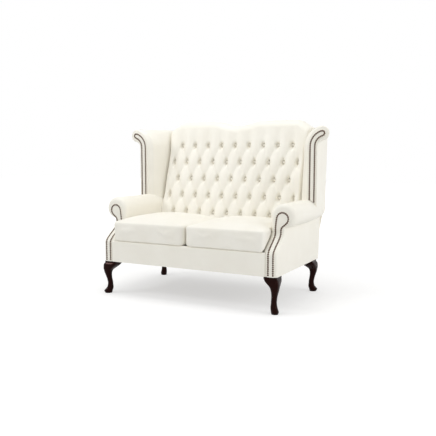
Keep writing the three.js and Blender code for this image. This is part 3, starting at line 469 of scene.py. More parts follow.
def arm_section(y, inset=0.0, arc=36, under=14):
    """Inside wall, roll and underside of the arm, as points (x, z)."""
    radius = roll_radius(y)
    centre = ARM_INNER + radius
    r, drop = radius - inset, ARM_CREASE_DROP - inset
    inner, outer = ARM_INNER + inset, BASE_HALF_WIDTH - inset
    turn = math.acos(max(-1, min(1, (outer - centre) / r)))
    low = ARM_HEIGHT - drop * math.sin(turn)
    stem = np.linspace(DECK_HEIGHT + CLEARANCE, low, ARM_STEM)
    ring = [(inner, z) for z in stem] + [(inner, z) for z in np.linspace(low, ARM_HEIGHT, 7)[1:-1]]
    ring += [(centre + r * math.cos(a), ARM_HEIGHT + r * math.sin(a))
             for a in np.linspace(math.pi, 0, arc)]
    ring += [(centre + r * math.cos(a), ARM_HEIGHT + drop * math.sin(a))
             for a in np.linspace(0, -turn, under)[1:]]
    ring += [(STUMP_INNER + inset, z) for z in stem[::-1]]
    return np.array(ring)


def arm_rings():
    rings = []
    runs = [ARM_ROUNDING * (1 - math.cos(a)) for a in np.linspace(0, math.pi / 2, 9)]
    for k, run in enumerate(runs):
        inset = ARM_ROUNDING * (1 - math.sin(math.pi / 2 * k / 8))
        ring = arm_section(ARM_SETBACK, inset)
        rings.append(np.stack([ring[:, 0], sweep_at(ring[:, 1]) + run, ring[:, 1]], 1))
    start = ARM_SETBACK + ARM_ROUNDING
    for share in np.linspace(0, 1, 10)[1:]:
        y = mix(start, ARM_TAPER[0], share)
        ring = arm_section(y)
        front = sweep_at(ring[:, 1]) + ARM_ROUNDING
        rings.append(np.stack([ring[:, 0], mix(front, ARM_TAPER[0], share), ring[:, 1]], 1))
    for y in np.linspace(ARM_TAPER[0], ARM_LAST, 12)[1:]:
        ring = arm_section(y)
        rings.append(np.stack([ring[:, 0], np.full(len(ring), y), ring[:, 1]], 1))
    last = arm_section(ARM_LAST)
    rings.append(np.stack([last[:, 0], rear_at(last[:, 1]) - 5.5, last[:, 1]], 1))
    return rings


rings = arm_rings()
points, faces = loft(rings, caps=False)
count = len(rings[0])
for start, step in ((0, -1), (len(points) - count, 1)):
    faces += [tuple(start + k for k in (i, i + 1, count - 2 - i, count - 1 - i))[::step]
              for i in range(ARM_STEM - 1)]
    faces.append(tuple(start + k for k in range(ARM_STEM - 1, count - ARM_STEM + 1))[::step])
pair("padded_arm", points, faces, LEATHER, ["arm_pad"], sharp=60)


def side_skin():
    """The outside of the base, wrapped round the front edge up to the facing."""
    edge = 14
    rows = []
    for z in np.linspace(LEG_HEIGHT + CLEARANCE, ARM_HEIGHT - 50, 48):
        front = sweep_at(z)
        inner = STUMP_INNER - 5 if z < DECK_HEIGHT else STUMP_INNER
        row = [(mix(inner, BASE_HALF_WIDTH - edge, t), front, z) for t in np.linspace(0, 1, 8)]
        for a in np.linspace(0, math.pi / 2, 9)[1:]:
            row.append((BASE_HALF_WIDTH - edge + edge * math.sin(a), front + edge * (1 - math.cos(a)), z))
        rear = rear_at(z) - 5.3
        row += [(BASE_HALF_WIDTH, mix(front + edge, rear, t), z) for t in np.linspace(0, 1, 40)[1:]]
        rows.append(row)
    return slab(rows, -4.5)


points, faces = side_skin()
pair("side_cover", points, faces, LEATHER, ["side_panel"], sharp=50)


# ---- Nailed facings

def keyhole(grow, floor, arc=40):
    hx, hz, r = ARM_HEAD
    pts = [(NAIL_INNER - grow, floor), (NAIL_INNER - grow, ARM_SWEEP[0]), (ARM_NECK[0] - grow, ARM_NECK[1])]
    for a in np.linspace(math.pi, -ARM_HEAD_EXIT, arc):
        pts.append((hx + (r + grow) * math.cos(a), hz + (r + grow) * math.sin(a)))
    pts += [(NAIL_OUTER + grow, ARM_NECK[1]), (NAIL_OUTER + grow, floor)]
    return np.array(pts)


def resample(path, count):
    seg = np.linalg.norm(np.diff(path, axis=0), axis=1)
    at = np.concatenate([[0], np.cumsum(seg)])
    t = np.linspace(0, at[-1], count)
    return np.stack([np.interp(t, at, path[:, k]) for k in range(path.shape[1])], 1)


def soften(path, rounds=3):
    for _ in range(rounds):
        path = np.vstack([path[:1], (path[:-2] + 2 * path[1:-1] + path[2:]) / 4, path[-1:]])
    return path


def wing_outline(inner, outer, turn, head, floor, inner_foot=None, steps=24):
    half, mid = (outer - inner) / 2, (outer + inner) / 2
    start = WING_TOP - SCROLL_HEAD - SCROLL_RADIUS * math.sin(turn)

    def at(angle, reach):
        return (mid + SCROLL_RADIUS * (1 - math.cos(angle)) - reach * math.cos(angle),
                start + SCROLL_RADIUS * math.sin(angle) + reach * math.sin(angle))
    foot = inner if inner_foot is None else inner_foot
    first = at(0, half)
    ring = [(mix(foot, first[0], t), mix(floor, first[1], t)) for t in np.linspace(0, 1, steps)[:-1]]
    ring += [at(turn * i / steps, mix(half, head, i / steps)) for i in range(steps + 1)]
    cx, cz = at(turn, 0)
    for i in range(1, steps + 1):
        angle = math.pi - turn - math.pi * i / (steps + 1)
        ring.append((cx + head * math.cos(angle), cz + head * math.sin(angle)))
    ring += [at(turn * i / steps, -mix(half, head, i / steps)) for i in range(steps, -1, -1)]
    last = ring[-1]
    ring += [(outer, mix(last[1], floor, t)) for t in np.linspace(0, 1, steps)[1:]]
    return np.array(ring)


def plate(outline, depth_at, thickness, bevel=1.6):
    """A plate with a rounded front edge: the outline is (x, z) and depth_at gives its front plane."""
    d = np.roll(outline, -1, 0) - np.roll(outline, 1, 0)
    normal = np.stack([d[:, 1], -d[:, 0]], 1)
    normal /= np.linalg.norm(normal, axis=1, keepdims=True) + 1e-12
    x, z = outline.T
    if np.sum(x * np.roll(z, -1) - np.roll(x, -1) * z) < 0:
        normal = -normal
    rings = []
    for a in (0.0, 0.35, 0.7, 1.0):
        turn = a * math.pi / 2
        ring = outline - normal * bevel * (1 - math.sin(turn))
        depth = depth_at(ring[:, 1]) + bevel * (1 - math.cos(turn))
        rings.append(np.stack([ring[:, 0], depth, ring[:, 1]], 1))
    rings.append(np.stack([x, depth_at(z) + thickness, z], 1))
    return loft(rings)


def swept_plate(outline, depth_at, thickness, bevel=1.6, across=13):
    """A plate whose front bends with its height: a grid between the two sides of the outline."""
    top = int(np.argmax(outline[:, 1]))
    sides = [outline[:top + 1], outline[top:][::-1]]
    floor, crown = outline[:, 1].min(), outline[top, 1]
    rise = 1 - (1 - np.linspace(0, 1, 90)) ** 1.7
    rows = []
    for z in mix(floor, crown - 0.05, rise):
        left, right = (float(np.interp(z, side[:, 1], side[:, 0])) for side in sides)
        share = (1 - np.cos(np.linspace(0, math.pi, across))) / 2
        x = mix(left, right, share)
        rim = np.minimum(np.minimum(x - left, right - x), min(crown - z, z - floor + bevel))
        fall = bevel * (1 - np.sqrt(1 - (1 - np.clip(rim / bevel, 0, 1)) ** 2))
        rows.append(np.stack([x, depth_at(z) + fall, np.full(across, z)], 1))
    front = np.array(rows)
    back = front.copy()
    back[:, :, 1] = depth_at(front[:, :, 2]) + thickness
    return slab(front, 1, normals=front - back)


def dome_faces(base, sides, rings):
    """The faces of a dome of rings of points from base on, with its crown and its underside after them."""
    faces = []
    top, under = base + rings * sides, base + rings * sides + 1
    for k in range(rings - 1):
        a = base + k * sides
        faces += [(a + i, a + (i + 1) % sides, a + sides + (i + 1) % sides, a + sides + i)
                  for i in range(sides)]
    a = base + (rings - 1) * sides
    faces += [(a + i, a + (i + 1) % sides, top) for i in range(sides)]
    faces += [(base + (i + 1) % sides, base + i, under) for i in range(sides)]
    return faces


def nail_heads(path, depth_at, slope_at):
    """Domed heads set side by side along a path (x, z) on a plane that depth_at bends."""
    seg = np.stack([path[:, 0], depth_at(path[:, 1]), path[:, 1]], 1)
    length = np.linalg.norm(np.diff(seg, axis=0), axis=1).sum()
    count = int(round(length / NAIL_PITCH))
    centres = resample(seg, count + 1)[:-1] + np.diff(resample(seg, count + 1), axis=0) / 2
    points, faces = [], []
    sides, rings = 10, 3
    for c in centres:
        slope = slope_at(c[2])
        up = np.array([0, slope, 1.0]) / math.hypot(slope, 1)
        out = np.cross(up, ACROSS)
        out = out if out[1] < 0 else -out
        base = len(points)
        for k in range(rings):
            a = (math.pi / 2) * k / rings
            r, h = NAIL_RADIUS * math.cos(a), NAIL_RISE * math.sin(a)
            for i in range(sides):
                t = 2 * math.pi * i / sides
                points.append(c + ACROSS * r * math.cos(t) + up * r * math.sin(t) + out * h)
        points += [c + out * NAIL_RISE, c - out * NAIL_SINK]
        faces += dome_faces(base, sides, rings)
    return np.array(points), faces


def sweep_slope(z):
    return float((sweep_at(z + 0.5) - sweep_at(z - 0.5)))


facing_floor = LEG_HEIGHT + CLEARANCE
line = soften(resample(keyhole(FACING_BORDER, facing_floor), 220), 6)
points, faces = swept_plate(line, lambda z: sweep_at(z) - FACING - 0.3, FACING)
pair("arm_front", points, faces, LEATHER, ["arm_facing"], sharp=60)
line = soften(resample(keyhole(0, facing_floor + 5), 220), 6)
points, faces = nail_heads(line, lambda z: sweep_at(z) - FACING - 0.5, sweep_slope)
pair("arm_nails", points, faces, NAIL, ["arm_nail_strip"], sharp=60)

wing_mid = (WING_INNER_FRONT + WING_OUTER_FRONT) / 2
wing_plane = WING_FRONT - 0.3 - FACING
half = WING_NAIL_HALF + FACING_BORDER
roll = roll_radius(WING_FRONT)


def roll_top(x, gap):
    """Height of the arm's roll under the wing's facing."""
    return ARM_HEIGHT + np.sqrt((roll + gap) ** 2 - (x - ARM_INNER - roll) ** 2)


line = wing_outline(wing_mid - half, wing_mid + half, SCROLL_TURN[0], half, ARM_HEIGHT)
over = roll_top(np.minimum(line[:, 0], wing_mid + half), ROLL_GAP)
line[:, 1] = np.maximum(line[:, 1], np.where(line[:, 0] < wing_mid + half + 1, over, 0))
foot = np.linspace(wing_mid + half, wing_mid - half, 10)[1:-1]
line = np.vstack([line, np.stack([foot, roll_top(foot, ROLL_GAP)], 1)])
points, faces = plate(line, lambda z: np.full(np.shape(z), float(wing_plane)), FACING)
pair("wing_front", points, faces, LEATHER, ["wing_facing"], sharp=60)
line = wing_outline(wing_mid - WING_NAIL_HALF, wing_mid + WING_NAIL_HALF, SCROLL_TURN[0], WING_NAIL_HALF,
                    ARM_HEIGHT + 40)
over = roll_top(np.minimum(line[:, 0], wing_mid + half), ROLL_GAP)
line = line[np.where(line[:, 0] < wing_mid + half, line[:, 1] > over, True)]
points, faces = nail_heads(line, lambda z: np.full(np.shape(z), wing_plane - 0.2), lambda z: 0.0)
pair("wing_nails", points, faces, NAIL, ["wing_nail_strip"], sharp=60)


# ---- Wings

WING_RUN = rear_at(WING_TOP) - WING_FRONT
WING_SLOPE = (WING_OUTER_REAR - WING_OUTER_FRONT) / WING_RUN


def wing_ring(run, lean):
    """The wing's section at a distance behind its front; the rear sections lean with the outside back."""
    bulge = smooth(run / WING_BULGE_RUN)

    def inner_at(z):
        seam = pit_at(z) + SEAM_CONTACT - WING_FRONT
        back = min(1, max(0, (run - WING_BULGE_RUN) / (seam - WING_BULGE_RUN)))
        return mix(mix(WING_INNER_FRONT, WING_BULGE, bulge), WING_INNER_REAR, back)
    drawn = WING_ROUNDING * 0.4 * (1 - math.sqrt(1 - (1 - min(1, run / WING_ROUNDING)) ** 2))
    centre = WING_TOP - SCROLL_HEAD
    inner = inner_at(centre - SCROLL_RADIUS)
    outer = WING_OUTER_FRONT + WING_SLOPE * run
    seam_top = pit_at(centre) + SEAM_DEPTH - WING_FRONT
    turn = mix(*SCROLL_TURN, smooth((run - SCROLL_HOLD) / (seam_top - SCROLL_HOLD)))
    head = mix(SCROLL_HEAD, (outer - inner) / 2, run / WING_RUN) - drawn
    ring = wing_outline(inner, outer, turn, head, ARM_HEIGHT, inner_at(ARM_HEIGHT))
    y = mix(WING_FRONT + run, rear_at(ring[:, 1]) - 5.5, lean)
    outward = np.clip((ring[:, 0] - inner) / (outer - inner), 0, 1)
    push = seam_bulge(ring[:, 1]) * np.clip(run / 110, 0, 1) * (1 - outward)
    return np.stack([ring[:, 0] - push + outward * WING_SLOPE * (y - WING_FRONT - run), y, ring[:, 1]], 1)


def wing_rings():
    rings = [wing_ring(float(run), 0) for run in SCROLL_HOLD * np.linspace(0, 1, 14) ** 1.6]
    first = SCROLL_HOLD / WING_RUN
    for share in np.linspace(first, 1, 20)[1:]:
        rings.append(wing_ring(WING_RUN * float(share), float((share - first) / (1 - first)) * float(share)))
    return rings


points, faces = loft(wing_rings())
pair("padded_wing", points, faces, LEATHER, ["wing_pad", "wing_outer_panel"], sharp=60)


# ---- Deep-buttoned back

def tuft_height(x, z):
    """Height above the buttons: soft folds on the lines between them, and a narrow pit at each one."""
    u = np.abs(x) / (TUFT_PITCH / 2)
    v = (TUFT_TOP - z) / TUFT_DROP
    cu, cv = np.minimum(u, TUFT_ROWS[0]), np.clip(v, 0, len(TUFT_ROWS) - 1)
    a = math.sqrt(1.02) * np.sqrt(np.sin(math.pi * (cu + cv) / 2) ** 2 + 0.02) - 0.1428
    b = math.sqrt(1.02) * np.sqrt(np.sin(math.pi * (cu - cv) / 2) ** 2 + 0.02) - 0.1428
    a, b = np.clip(a / 0.877, 0, 1), np.clip(b / 0.877, 0, 1)
    fold = (TUFT_RISE - FOLD_RISE) * (1 - (a * b) ** 0.85)
    away = np.hypot(u - cu, v - cv)
    fold *= mix(1, 0.12, smooth(away / 1.3))
    spread = (a * a + b * b) / PIT_SPREAD
    turn = np.arctan2((v - np.round(v)) * TUFT_DROP, (u - np.round(u)) * TUFT_PITCH / 2)
    pit = (FOLD_RISE + PIT_SINK) * np.exp(-spread - (away / 0.16) ** 2)
    gather = 0.9 * np.cos(8 * turn) * spread * np.exp(-0.45 * spread - (away / 0.16) ** 2)
    return TUFT_RISE - fold - pit - gather


def button_well(x, z):
    """Depth of the narrow well in which each button sits."""
    row = np.clip(np.round((TUFT_TOP - z) / TUFT_DROP), 0, len(TUFT_ROWS) - 1).astype(int)
    u, last, odd = x / (TUFT_PITCH / 2), np.array(TUFT_ROWS)[row] - 1, row % 2
    near = np.clip(2 * np.round((u - odd) / 2) + odd, -last, last)
    away = np.hypot((u - near) * TUFT_PITCH / 2, z - TUFT_TOP + row * TUFT_DROP)
    return WELL_DEPTH * (1 - smooth((away - WELL_RADIUS) / 5))


def back_front(x, z):
    edge = np.maximum(0, (np.abs(x) - (BACK_HALF - SEAM_RUN)) / SEAM_RUN)
    rise = tuft_height(x, z) + SEAM_DEPTH
    return pit_at(z) + SEAM_DEPTH - rise * np.sqrt(np.maximum(0, 1 - edge ** 5)) + button_well(x, z)


def drawn(x, z):
    """The side of the back gives way to the wing's padding."""
    return x - np.sign(x) * seam_bulge(z) * smooth((abs(x) - BACK_HALF + 80) / 80)


def back_columns(fine=20, level=34):
    last = TUFT_ROWS[0]
    cols = [i / fine * TUFT_PITCH / 2 for i in range(-last * fine, last * fine + 1)]
    margin = [mix(last * TUFT_PITCH / 2, BACK_HALF, math.sin(a)) for a in np.linspace(0, math.pi / 2, 22)[1:]]
    cols = [-m for m in margin[::-1]] + cols + margin
    floor = DECK_HEIGHT + CLEARANCE
    low = TUFT_TOP - (len(TUFT_ROWS) - 1) * TUFT_DROP
    levels = list(np.linspace(floor, low, 42)[:-1])
    levels += [low + j / level * TUFT_DROP for j in range((len(TUFT_ROWS) - 1) * level + 1)]
    rows = []
    for x in cols:
        crest = float(crest_at(x))
        bend = crest - CREST_FRONT
        z = np.array(levels + list(np.linspace(TUFT_TOP, bend, 36)[1:]))
        line = list(np.stack([drawn(x, z), back_front(x, z), z], 1))
        front = line[-1][1]
        for a in np.linspace(0, math.pi / 2, 14)[1:]:
            z = bend + CREST_FRONT * math.sin(a)
            line.append((x, front + TUFT_SLOPE * (z - bend) + CREST_FRONT * (1 - math.cos(a)), z))
        for a in np.linspace(0, math.pi / 2, 10):
            z = crest - CREST_REAR * (1 - math.cos(a))
            line.append((x, rear_at(z) - CREST_REAR * (1 - math.sin(a)), z))
        step = crest - 34
        line += [(x, rear_at(step), step), (x, pit_at(step) + 42, step)]
        z = np.linspace(step, floor, 16)[1:]
        line += list(np.stack([drawn(x, z), pit_at(z) + 42, z], 1))
        rows.append(line)
    return rows


points, faces = loft(back_columns())
piece("buttoned_back", points, faces, LEATHER, ["back_pad"], sharp=75)


def button_domes():
    points, faces = [], []
    sides, rings, r, rise = 24, 8, BUTTON_RADIUS, BUTTON_RISE
    tilt = math.atan(TUFT_SLOPE)
    out = np.array([0, -math.cos(tilt), math.sin(tilt)])
    up = np.array([0, math.sin(tilt), math.cos(tilt)])
    for row, count in enumerate(TUFT_ROWS):
        for i in range(count):
            z = TUFT_TOP - row * TUFT_DROP
            c = np.array([(i - (count - 1) / 2) * TUFT_PITCH, pit_at(z) + PIT_SINK + WELL_DEPTH - 1, z])
            base = len(points)
            for k in range(rings):
                a = math.pi / 2 * k / rings
                for s in range(sides):
                    t = 2 * math.pi * s / sides
                    spoke = ACROSS * math.cos(t) + up * math.sin(t)
                    points.append(c + spoke * r * math.cos(a) ** 0.5 + out * rise * math.sin(a))
            points += [c + out * rise, c - out * 6]
            faces += dome_faces(base, sides, rings)
    return np.array(points), faces


points, faces = button_domes()
piece("covered_buttons", points, faces, LEATHER)


# ---- Outside back and front border

def back_skin():
    edge_top, edge_low = WING_OUTER_REAR - 0.5, BASE_HALF_WIDTH - 5.3
    rows = []
    for share in np.linspace(-1, 1, 81):
        top = float(crest_at(share * edge_top)) - 28
        row = []
        for t in np.linspace(0, 1, 60):
            z = mix(LEG_HEIGHT + CLEARANCE, top, t)
            half = mix(edge_low, edge_top, smooth((z - DECK_HEIGHT) / 200))
            near = min(1, (1 - abs(share)) * half / 12, (1 - t) * 60, t * 60)
            row.append((share * half, rear_at(z) - 1.6 * (1 - smooth(near)), z))
        rows.append(row)
    return slab(rows, -4.2)


points, faces = back_skin()
piece("back_cover", points, faces, LEATHER, ["back_outer_panel"], sharp=50)

edge = STUMP_INNER - 5.3
rows = []
for x in np.linspace(-edge, edge, 90):
    row = []
    for z in np.linspace(LEG_HEIGHT + CLEARANCE, DECK_HEIGHT - 8, 24):
        row.append((x, 0.0, z))
    for a in np.linspace(0, math.pi / 2, 8)[1:]:
        row.append((x, 7.6 * (1 - math.cos(a)), DECK_HEIGHT - 8 + 7.6 * math.sin(a)))
    rows.append(row)
points, faces = slab(rows, -5)
piece("front_cover", points, faces, LEATHER, ["front_border"], sharp=50)


# ---- Seat cushions

def cushion():
    """The right cushion: its solid, remeshed, filled with air and relaxed."""
    mesh = frame["nodes"]["seat_cushion_right"].data.copy()
    obj = bpy.data.objects.new("seat_pad_right", mesh)
    bpy.context.scene.collection.objects.link(obj)
    bm = bmesh.new()
    bm.from_mesh(mesh)
    bmesh.ops.remove_doubles(bm, verts=bm.verts, dist=1e-6)
    bm.normal_update()
    steps = [(v, v.normal * -CUSHION_SHRINK) for v in bm.verts]
    for v, step in steps:
        v.co += step
        across, height = v.co.x / MM, v.co.z / MM - DECK_HEIGHT
        if across > EAR_START:
            v.co.x *= mix(EAR_START, across, EAR_SHARE) / across
        crown = np.clip((height - CUSHION_EDGE) / CUSHION_CROWN, 0, 1)
        v.co.z += EDGE_LIFT * MM * np.clip(height / CUSHION_EDGE, 0, 1) * (1 - crown)
    bm.to_mesh(mesh)
    bm.free()
    mesh.materials.clear()
    mesh.materials.append(CUSHION_LEATHER)
    bpy.context.view_layer.objects.active = obj
    remesh = obj.modifiers.new("remesh", "REMESH")
    remesh.mode = "VOXEL"
    remesh.voxel_size = 0.006
    bpy.ops.object.modifier_apply(modifier="remesh")
    fit_ears(obj)
    pressurise(obj)
    relax = obj.modifiers.new("relax", "SMOOTH")
    relax.factor = 0.5
    relax.iterations = 4
    bpy.ops.object.modifier_apply(modifier="relax")
    droop(obj)
    return obj


def finish_cushion(obj, side):
    crumple(obj, 1 if side == "right" else 2)
    for polygon in obj.data.polygons:
        polygon.use_smooth = True
    bpy.context.view_layer.objects.active = obj
    sub = obj.modifiers.new("sub", "SUBSURF")
    sub.levels = 1
    sub.render_levels = 1
    bpy.ops.object.modifier_apply(modifier="sub")
    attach(obj, f"{side}_seat_cushion")
    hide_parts(f"seat_cushion_{side}")


def vertices_of(obj):
    vertices = obj.data.vertices
    return np.array([v.co[:] for v in vertices]), np.array([v.normal[:] for v in vertices])


def put_vertices(obj, at):
    obj.data.vertices.foreach_set("co", at.ravel())
    obj.data.update()


def crumple(obj, seed):
    """Soft dents of about a millimetre on the top and the front, different on each cushion."""
    at, facing = vertices_of(obj)
    x, y, z = at.T
    wave = (np.sin(19 * x + 31 * z + 2.1 * seed) * np.sin(23 * y - 13 * x + 1.3 * seed)
            + 0.5 * np.sin(47 * x - 61 * z + seed))
    share = np.clip(np.maximum(facing[:, 2], -facing[:, 1]), 0, 1)
    put_vertices(obj, at - facing * (0.0008 * (1 + wave) * share)[:, None])


def mirrored(obj, name):
    mesh = obj.data.copy()
    bm = bmesh.new()
    bm.from_mesh(mesh)
    for v in bm.verts:
        v.co.x *= -1
    bmesh.ops.reverse_faces(bm, faces=bm.faces)
    bm.to_mesh(mesh)
    bm.free()
    copy = bpy.data.objects.new(name, mesh)
    bpy.context.scene.collection.objects.link(copy)
    return copy


def fit_ears(obj):
    """The front corners press back against the fronts of the arms."""
    at, facing = vertices_of(obj)
    x, y, z = at[:, 0] / MM, (at[:, 1] - Y_SHIFT) / MM, at[:, 2] / MM
    close = smooth((np.abs(x) - EAR_START - 2) / 6) * smooth((16 - np.abs(y - sweep_at(z) + 6)) / 8)
    at[:, 1] += EAR_PRESS * MM * close * np.clip(facing[:, 1], 0, 1)
    put_vertices(obj, at)


def droop(obj):
    """The cover hangs over the border by a few millimetres where the cushion stands out past it."""
    at, _ = vertices_of(obj)
    ahead = (Y_SHIFT - 0.002 - at[:, 1]) / 0.009
    low = 1 - (at[:, 2] - DECK_HEIGHT * MM) / 0.05
    at[:, 2] -= 0.007 * smooth(ahead) * smooth(low)
    put_vertices(obj, at)


def pressurise(obj):
    """Fills the cover with air pressure; it bulges on top and in front, and keeps clear of its neighbours."""
    before, facing = vertices_of(obj)
    cloth = obj.modifiers.new("cloth", "CLOTH")
    cloth.settings.quality = 6
    cloth.settings.mass = 0.3
    cloth.settings.tension_stiffness = 25
    cloth.settings.compression_stiffness = 25
    cloth.settings.shear_stiffness = 10
    cloth.settings.bending_stiffness = 2
    cloth.settings.use_pressure = True
    cloth.settings.uniform_pressure_force = 4
    cloth.settings.effector_weights.gravity = 0
    cloth.collision_settings.use_collision = False
    for f in range(1, CLOTH_FRAMES + 1):
        scene.frame_set(f)
    bpy.ops.object.modifier_apply(modifier="cloth")
    scene.frame_set(1)
    move = vertices_of(obj)[0] - before
    reach = np.linalg.norm(move, axis=1)
    room = CUSHION_SHRINK + 0.002 * np.clip(-facing[:, 1], 0, 1)
    put_vertices(obj, before + move * np.minimum(1, room / np.maximum(reach, 1e-9))[:, None])


right_cushion = cushion()
left_cushion = mirrored(right_cushion, "seat_pad_left")
finish_cushion(right_cushion, "right")
finish_cushion(left_cushion, "left")


# ---- Seat deck under the cushions, and the lining under the seat

def cells(xs, ys, keep, z_at, thickness):
    """A thin closed sheet over the kept cells of a grid."""
    index, points, faces, edges = {}, [], [], {}

    def corner(i, j):
        if (i, j) not in index:
            index[(i, j)] = len(points)
            z = z_at(xs[i], ys[j])
            points.append((xs[i], ys[j], z))
            points.append((xs[i], ys[j], z - thickness))
        return index[(i, j)]
    for i in range(len(xs) - 1):
        for j in range(len(ys) - 1):
            if keep((xs[i] + xs[i + 1]) / 2, (ys[j] + ys[j + 1]) / 2):
                ring = [corner(i, j), corner(i + 1, j), corner(i + 1, j + 1), corner(i, j + 1)]
                faces += [tuple(ring), tuple(k + 1 for k in ring[::-1])]
                for a, b in zip(ring, ring[1:] + ring[:1]):
                    edges[(a, b)] = None
    faces += [(b, a, a + 1, b + 1) for a, b in edges if (b, a) not in edges]
    return points, faces


def solid_box(name):
    """The low and high corners of a solid, in the millimetres of the sizes above."""
    low, high = (np.array(c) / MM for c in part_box(name))
    low[1], high[1] = low[1] - Y_SHIFT / MM, high[1] - Y_SHIFT / MM
    return low, high


low, high = solid_box("seat_deck")


def deck_top(x, y):
    rim = min(x - low[0], high[0] - x, y - low[1], high[1] - y)
    fall = 6 * (1 - float(smooth(rim / 24))) ** 2
    ridges = 1.2 * (1 + math.cos(y / 21)) * float(smooth(rim / 40)) / 2
    return high[2] - 0.2 - fall - ridges


points, faces = cells(np.linspace(low[0], high[0], 97), np.linspace(low[1], high[1], 65),
                      lambda x, y: True, deck_top, 13)
deck = piece("padded_deck", points, faces, DECK_CLOTH, ["seat_deck"], sharp=60)

low, high = solid_box("dust_cover")
clear = LEG_BLOCK + 1
leg_x, leg_y = BASE_HALF_WIDTH - clear, BASE_DEPTH - REAR_LEG_INSET


def at_leg(x, y):
    return abs(x) > leg_x and (y < clear or leg_y - clear < y < leg_y + 1)


def lining_z(x, y):
    across, along = x / high[0], (2 * y - low[1] - high[1]) / (high[1] - low[1])
    return high[2] - 0.2 - 3.5 * (1 - across ** 2) * (1 - along ** 2)


xs = np.concatenate([np.linspace(low[0], -leg_x, 9), np.linspace(-leg_x, leg_x, 81)[1:],
                     np.linspace(leg_x, high[0], 9)[1:]])
ys = np.concatenate([np.linspace(low[1], clear, 9), np.linspace(clear, leg_y - clear, 41)[1:],
                     np.linspace(leg_y - clear, high[1], 11)[1:]])
points, faces = cells(xs, ys, lambda x, y: not at_leg(x, y), lining_z, 0.8)
lining = piece("under_lining", points, faces, LINING, ["dust_cover"], sharp=60)


# ---- Carried-over solids

def dress(names, material):
    for n in names:
        node = frame["nodes"][n]
        node.data.materials.clear()
        node.data.materials.append(material)


nodes = frame["nodes"]
dress([n for n in nodes if n.startswith(("seat_spring", "leg_bolt"))], STEEL)
dress(["back_webbing"], STRAP)
timber = ("front_rail", "back_rail", "side_rail", "centre_rail", "corner_block", "arm_stump", "arm_rail",
          "back_post", "wing_post", "wing_top_rail", "back_top_rail", "back_lower_rail", "back_stile")
dress([n for n in nodes if n.startswith(timber)], TIMBER)


# ---- Floor, light and camera

def directly_seen(nodes, links):
    """1 for what the camera sees, also in a gloss or through glass, and 0 for light on its way."""
    path = nodes.new("ShaderNodeLightPath")
    seen = path.outputs["Is Camera Ray"]
    for name in ("Is Glossy Ray", "Is Transmission Ray"):
        most = nodes.new("ShaderNodeMath")
        most.operation = "MAXIMUM"
        links.new(seen, most.inputs[0])
        links.new(path.outputs[name], most.inputs[1])
        seen = most.outputs["Value"]
    return seen


def stage_material():
    mat, nodes, links, shader = new_material("pale_floor")
    shader.inputs["Base Color"].default_value = (0.8, 0.8, 0.8, 1)
    shader.inputs["Roughness"].default_value = 0.9
    shader.inputs["Specular IOR Level"].default_value = 0.0
    pale = nodes.new("ShaderNodeBsdfDiffuse")
    pale.inputs["Color"].default_value = (0.52, 0.523, 0.53, 1)
    glow = nodes.new("ShaderNodeEmission")
    glow.inputs["Color"].default_value = (1, 0.985, 0.96, 1)
    where = nodes.new("ShaderNodeTexCoord").outputs["Object"]
    away = nodes.new("ShaderNodeVectorMath")
    away.operation = "LENGTH"
    links.new(where, away.inputs[0])
    strength = nodes.new("ShaderNodeMapRange")
    strength.interpolation_type = "SMOOTHSTEP"
    strength.inputs["From Min"].default_value = 1.3
    strength.inputs["From Max"].default_value = 4.5
    strength.inputs["To Min"].default_value = 0.55
    strength.inputs["To Max"].default_value = 0.85
    links.new(away.outputs["Value"], strength.inputs["Value"])
    links.new(strength.outputs["Result"], glow.inputs["Strength"])
    blend = nodes.new("ShaderNodeAddShader")
    links.new(pale.outputs["BSDF"], blend.inputs[0])
    links.new(glow.outputs["Emission"], blend.inputs[1])
    final = nodes.new("ShaderNodeMixShader")
    links.new(directly_seen(nodes, links), final.inputs["Fac"])
    links.new(shader.outputs["BSDF"], final.inputs[1])
    links.new(blend.outputs["Shader"], final.inputs[2])
    links.new(final.outputs["Shader"], nodes["Material Output"].inputs["Surface"])
    return mat


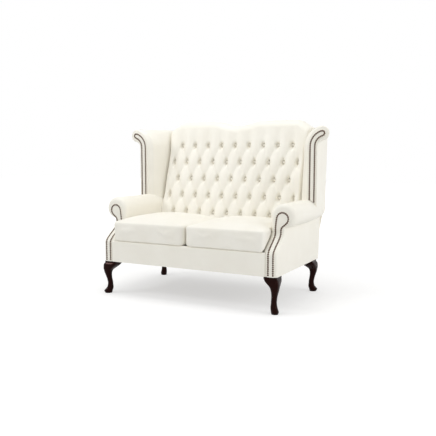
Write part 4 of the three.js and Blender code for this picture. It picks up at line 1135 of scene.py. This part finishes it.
floor_mesh = bpy.data.meshes.new("floor")
reach = 14
floor_mesh.from_pydata([(-reach, -reach, 0), (reach, -reach, 0), (reach, reach, 0), (-reach, reach, 0)],
                       [], [(0, 1, 2, 3)])
floor = bpy.data.objects.new("floor", floor_mesh)
scene.collection.objects.link(floor)
floor_mesh.materials.append(stage_material())

world = bpy.data.worlds.new("studio")
scene.world = world
world.use_nodes = True
wn, wl = world.node_tree.nodes, world.node_tree.links
ambient, backdrop = wn["Background"], wn.new("ShaderNodeBackground")
ambient.inputs["Color"].default_value = (0.97, 0.985, 1, 1)
ambient.inputs["Strength"].default_value = 0.62
backdrop.inputs["Color"].default_value = (1, 1, 1, 1)
backdrop.inputs["Strength"].default_value = 1
choose = wn.new("ShaderNodeMixShader")
wl.new(directly_seen(wn, wl), choose.inputs["Fac"])
wl.new(ambient.outputs["Background"], choose.inputs[1])
wl.new(backdrop.outputs["Background"], choose.inputs[2])
wl.new(choose.outputs["Shader"], wn["World Output"].inputs["Surface"])


def area_light(name, place, aim, size, power):
    data = bpy.data.lights.new(name, "AREA")
    data.shape = "SQUARE"
    data.size = size
    data.energy = power
    obj = bpy.data.objects.new(name, data)
    scene.collection.objects.link(obj)
    obj.location = place
    obj.rotation_euler = (Vector(aim) - Vector(place)).to_track_quat("-Z", "Y").to_euler()
    return obj


area_light("top_light", (-0.4, -0.2, 3.6), (0, 0, 0.4), 1.6, 34)
area_light("key_light", (-3.0, -2.4, 2.9), (0, 0, 0.5), 1.0, 34)
area_light("side_light", (3.8, 0.2, 1.6), (0.3, 0, 0.5), 2.4, 40)
area_light("front_light", (1.6, -3.8, 1.6), (0, 0, 0.4), 2.4, 12)

scene.view_settings.view_transform = "Standard"
camera_data = bpy.data.cameras.new("camera")
camera_data.sensor_width = 36
camera_data.lens = 49.9
camera = bpy.data.objects.new("camera", camera_data)
scene.collection.objects.link(camera)
camera.location = (1.7286, -2.9067 + Y_SHIFT + 0.015, 0.844)
camera.rotation_euler = (math.radians(90 - 6.08), 0, math.radians(27.62))
scene.camera = camera
